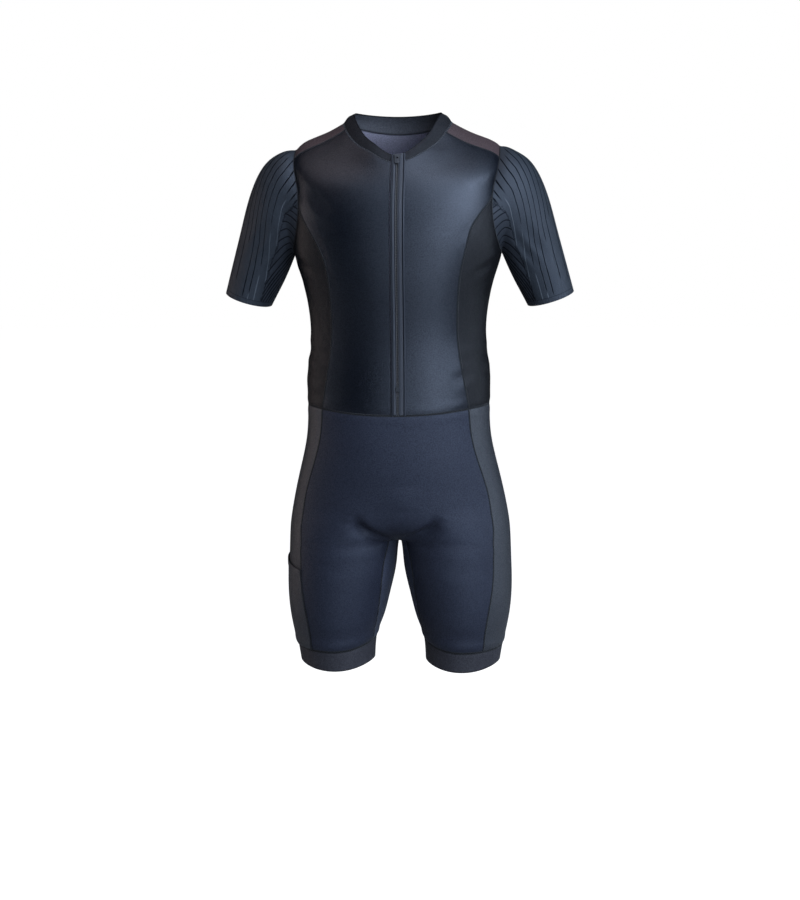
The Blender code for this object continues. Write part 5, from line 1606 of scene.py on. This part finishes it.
def placket(drop, across):
    """A point on the flat placket: metres below the collar's edge, and -1 to 1 from right to left."""
    both = [np.stack([np.interp(drop, zip_drop[::-1], edge[::-1, axis]) for axis in range(3)], -1)
            for edge in (right_edge, left_edge)]
    return (both[0] + both[1]) / 2 + (both[1] - both[0]) / 2 * np.asarray(across)[..., None]


def placket_frame(drop):
    """Directions on the placket at a height: across, up and out."""
    up = unit(placket(drop - 0.002, 0.0) - placket(drop + 0.002, 0.0))
    across = placket(drop, 1.0) - placket(drop, -1.0)
    across = unit(across - up * (up @ across))
    return across, up, np.cross(across, up)


foot_drop = float(zip_drop[0])
coil_end = float(np.interp(COIL_END_Z, placket(zip_drop, np.zeros(len(zip_drop)))[:, 2], zip_drop))
print(f"placket {foot_drop:.3f} m long, coil {coil_end - SLIDER_DROP:.3f} m")

# %% Tapes
TAPE_LEVEL = -0.0002
TAPE_PROFILE = ((0.0, -0.0009), (0.0004, -0.0001), (0.0009, 0.0003), (0.0014, 0.0004), (0.0020, 0.0003),
                (0.0026, 0.0), (0.0030, -0.0003), (0.0034, 0.0), (0.0045, 0.0002), (0.0065, 0.0002),
                (0.0085, 0.0), (0.0106, -0.0003))


def parted(drop):
    """Half the gap between the tapes: they part above the slider."""
    return COIL_HALF_GAP + PART_HALF_GAP * np.clip((SLIDER_TOP + PART_LENGTH - drop) / PART_LENGTH, 0, 1)


drops = np.concatenate([np.linspace(foot_drop, SLIDER_TOP + 0.006, 150),
                        np.linspace(SLIDER_TOP + 0.006, 0.0, 14)[1:]])
for word, side in SIDES:
    points, aways = np.zeros((2, len(drops), len(TAPE_PROFILE), 3))
    for j, drop in enumerate(drops):
        across, up, out = placket_frame(drop)
        inner = parted(drop)
        for i, (reach, high) in enumerate(TAPE_PROFILE):
            distance = inner + reach * (1 - inner / ZIP_HALF)
            points[j, i] = placket(drop, side * distance / ZIP_HALF) + out * (TAPE_LEVEL + high)
            aways[j, i] = out
    points = pulled(points + aways * shift(points)[..., None])
    cloth[f"zip_tape_{word}"] = sewn(f"zip_cloth_{word}", [Grid(points, aways, flat_place(points))],
                                     (TAPE, INSIDE_DARK), thickness=0.0009, lift=0.0)

# %% [markdown]
# The coil is one stiff thread wound into teeth. It is sewn behind the tapes, whose turned edges close
# over it, so that it rubs nothing. Each tooth here is a short bar with its own rounded head past the
# middle line, and the heads of one side lock between those of the other.

# %% Coil teeth
TOOTH_PITCH, TOOTH_HALF, TOOTH_HIGH = 0.0013, 0.00050, 0.0013
COIL_BEHIND = 0.0014
TOOTH_RINGS = ((-0.0002, 0.55), (0.0004, 1.0), (0.0030, 1.0))     # metres past the middle, size


def tooth(points, faces, drop, side):
    """Adds one tooth: a six-sided bar, with a pinched head."""
    across, up, out = placket_frame(drop)
    base = placket(drop, 0.0) + out * (TAPE_LEVEL - COIL_BEHIND)
    start = len(points)
    for distance, size in TOOTH_RINGS:
        for k in range(6):
            a = pi / 3 * k + pi / 6
            points.append(base + across * side * distance + up * (cos(a) * TOOTH_HALF * size)
                          - out * (TOOTH_HIGH * 0.45 + sin(a) * TOOTH_HIGH * 0.55 * size))
    around = [(start + ring + k, start + ring + (k + 1) % 6, start + ring + 6 + (k + 1) % 6,
               start + ring + 6 + k) for ring in (0, 6) for k in range(6)]
    ends = [tuple(range(start + 5, start - 1, -1)), tuple(range(start + 12, start + 18))]
    faces += [face if side > 0 else face[::-1] for face in around + ends]


coils = {}
for word, side in SIDES:
    points, faces = [], []
    drop = SLIDER_DROP + 0.001 + (TOOTH_PITCH / 2 if side > 0 else 0)
    while drop < coil_end:
        tooth(points, faces, drop, side)
        drop += TOOTH_PITCH
    points = np.array(points)
    points += placket_frame(0.2)[2] * shift(points)[..., None]
    name = f"coil_{word}"
    mesh = bpy.data.meshes.new(name)
    mesh.from_pydata(points.tolist(), [], faces)
    coils[name] = placed(name, mesh, COIL)
    finish_piece(coils[name], 40)
    print(f"{name}: {len(points) // 18} teeth")

# %% Stitched edges of the fronts along the zip
PIPE_HALF = 0.0017
LAPPED = {1: 0.0006, -1: 0.0038}      # metres that each front laps over its tape


def turned_edge(across, side):
    """A line beside the zip, from the waist up over the collar."""
    start = zip_side(side) - LAPPED[side] + PIPE_HALF * (across + 0.7)
    body, top = [surface(form, stack(form.share(start, t), t), side)
                 for form, t in ((torso, zip_t), (collar_form, collar_t))]
    return joined(body, [k[1:] for k in top])


for word, side in SIDES:
    strip(f"edge_{word}", lambda across: turned_edge(across, side), EDGE, half=1, proud=0.0007)

# %% [markdown]
# ## What stands for what
# Every piece rides on the body that it belongs to. Pieces of cloth stand for the plain solids below
# them, which stay behind for collisions only.

# %% Rides, replaced solids and slots
for node, piece in cloth.items():
    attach(piece, "suit")
    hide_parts(node)
for piece in [*seams.values(), *coils.values()]:
    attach(piece, "suit")

for node, look in (("zip_slider", DARK_METAL), ("zip_stop", DARK_METAL), ("pull_tab", TAB_METAL)):
    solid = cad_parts[node]
    solid.data.materials.clear()
    solid.data.materials.append(look)

# %% Flat cuts
CUTS = (                  # node, metres across and along, square metres, what is sewn on; {} is each side
    ("front_left", 0.206, 0.516, 0.054, "edge_left seam_front_left"),
    ("front_right", 0.218, 0.518, 0.059, "edge_right seam_front_right"),
    ("back", 0.387, 0.511, 0.117, "seam_back_left seam_back_right seam_yoke_back_left seam_yoke_back_right"),
    ("torso_side_left", 0.278, 0.360, 0.064, ""),
    ("torso_side_right", 0.269, 0.360, 0.062, ""),
    ("yoke_left", 0.083, 0.108, 0.0075, "seam_yoke_front_left"),
    ("yoke_right", 0.075, 0.108, 0.0070, "seam_yoke_front_right"),
    ("collar", 0.516, 0.031, 0.0122, "seam_neck"),
    ("shorts_front", 0.366, 0.435, 0.126, "seam_waist seam_hip_front_left seam_hip_front_right "
                                          "seam_inner_front_left seam_inner_front_right"),
    ("shorts_back", 0.340, 0.462, 0.118, "seam_hip_back_left seam_hip_back_right "
                                         "seam_inner_back_left seam_inner_back_right"),
    ("shorts_side_{}", 0.177, 0.422, 0.070, ""),
    ("inner_leg_{}", 0.120, 0.193, 0.018, "seam_crotch_{}"),
    ("gripper_{}", 0.444, 0.036, 0.0139, "seam_band_{}"),
    ("leg_pocket", 0.179, 0.168, 0.0265, ""),
    ("sleeve_{}", 0.499, 0.284, 0.067, "seam_armhole_{}"),
    ("zip_tape_{}", 0.011, 0.438, None, "coil_{}"),
)
for node, width, length, area, sewn_on in CUTS:
    for word in ("left", "right") if "{}" in node else ("",):
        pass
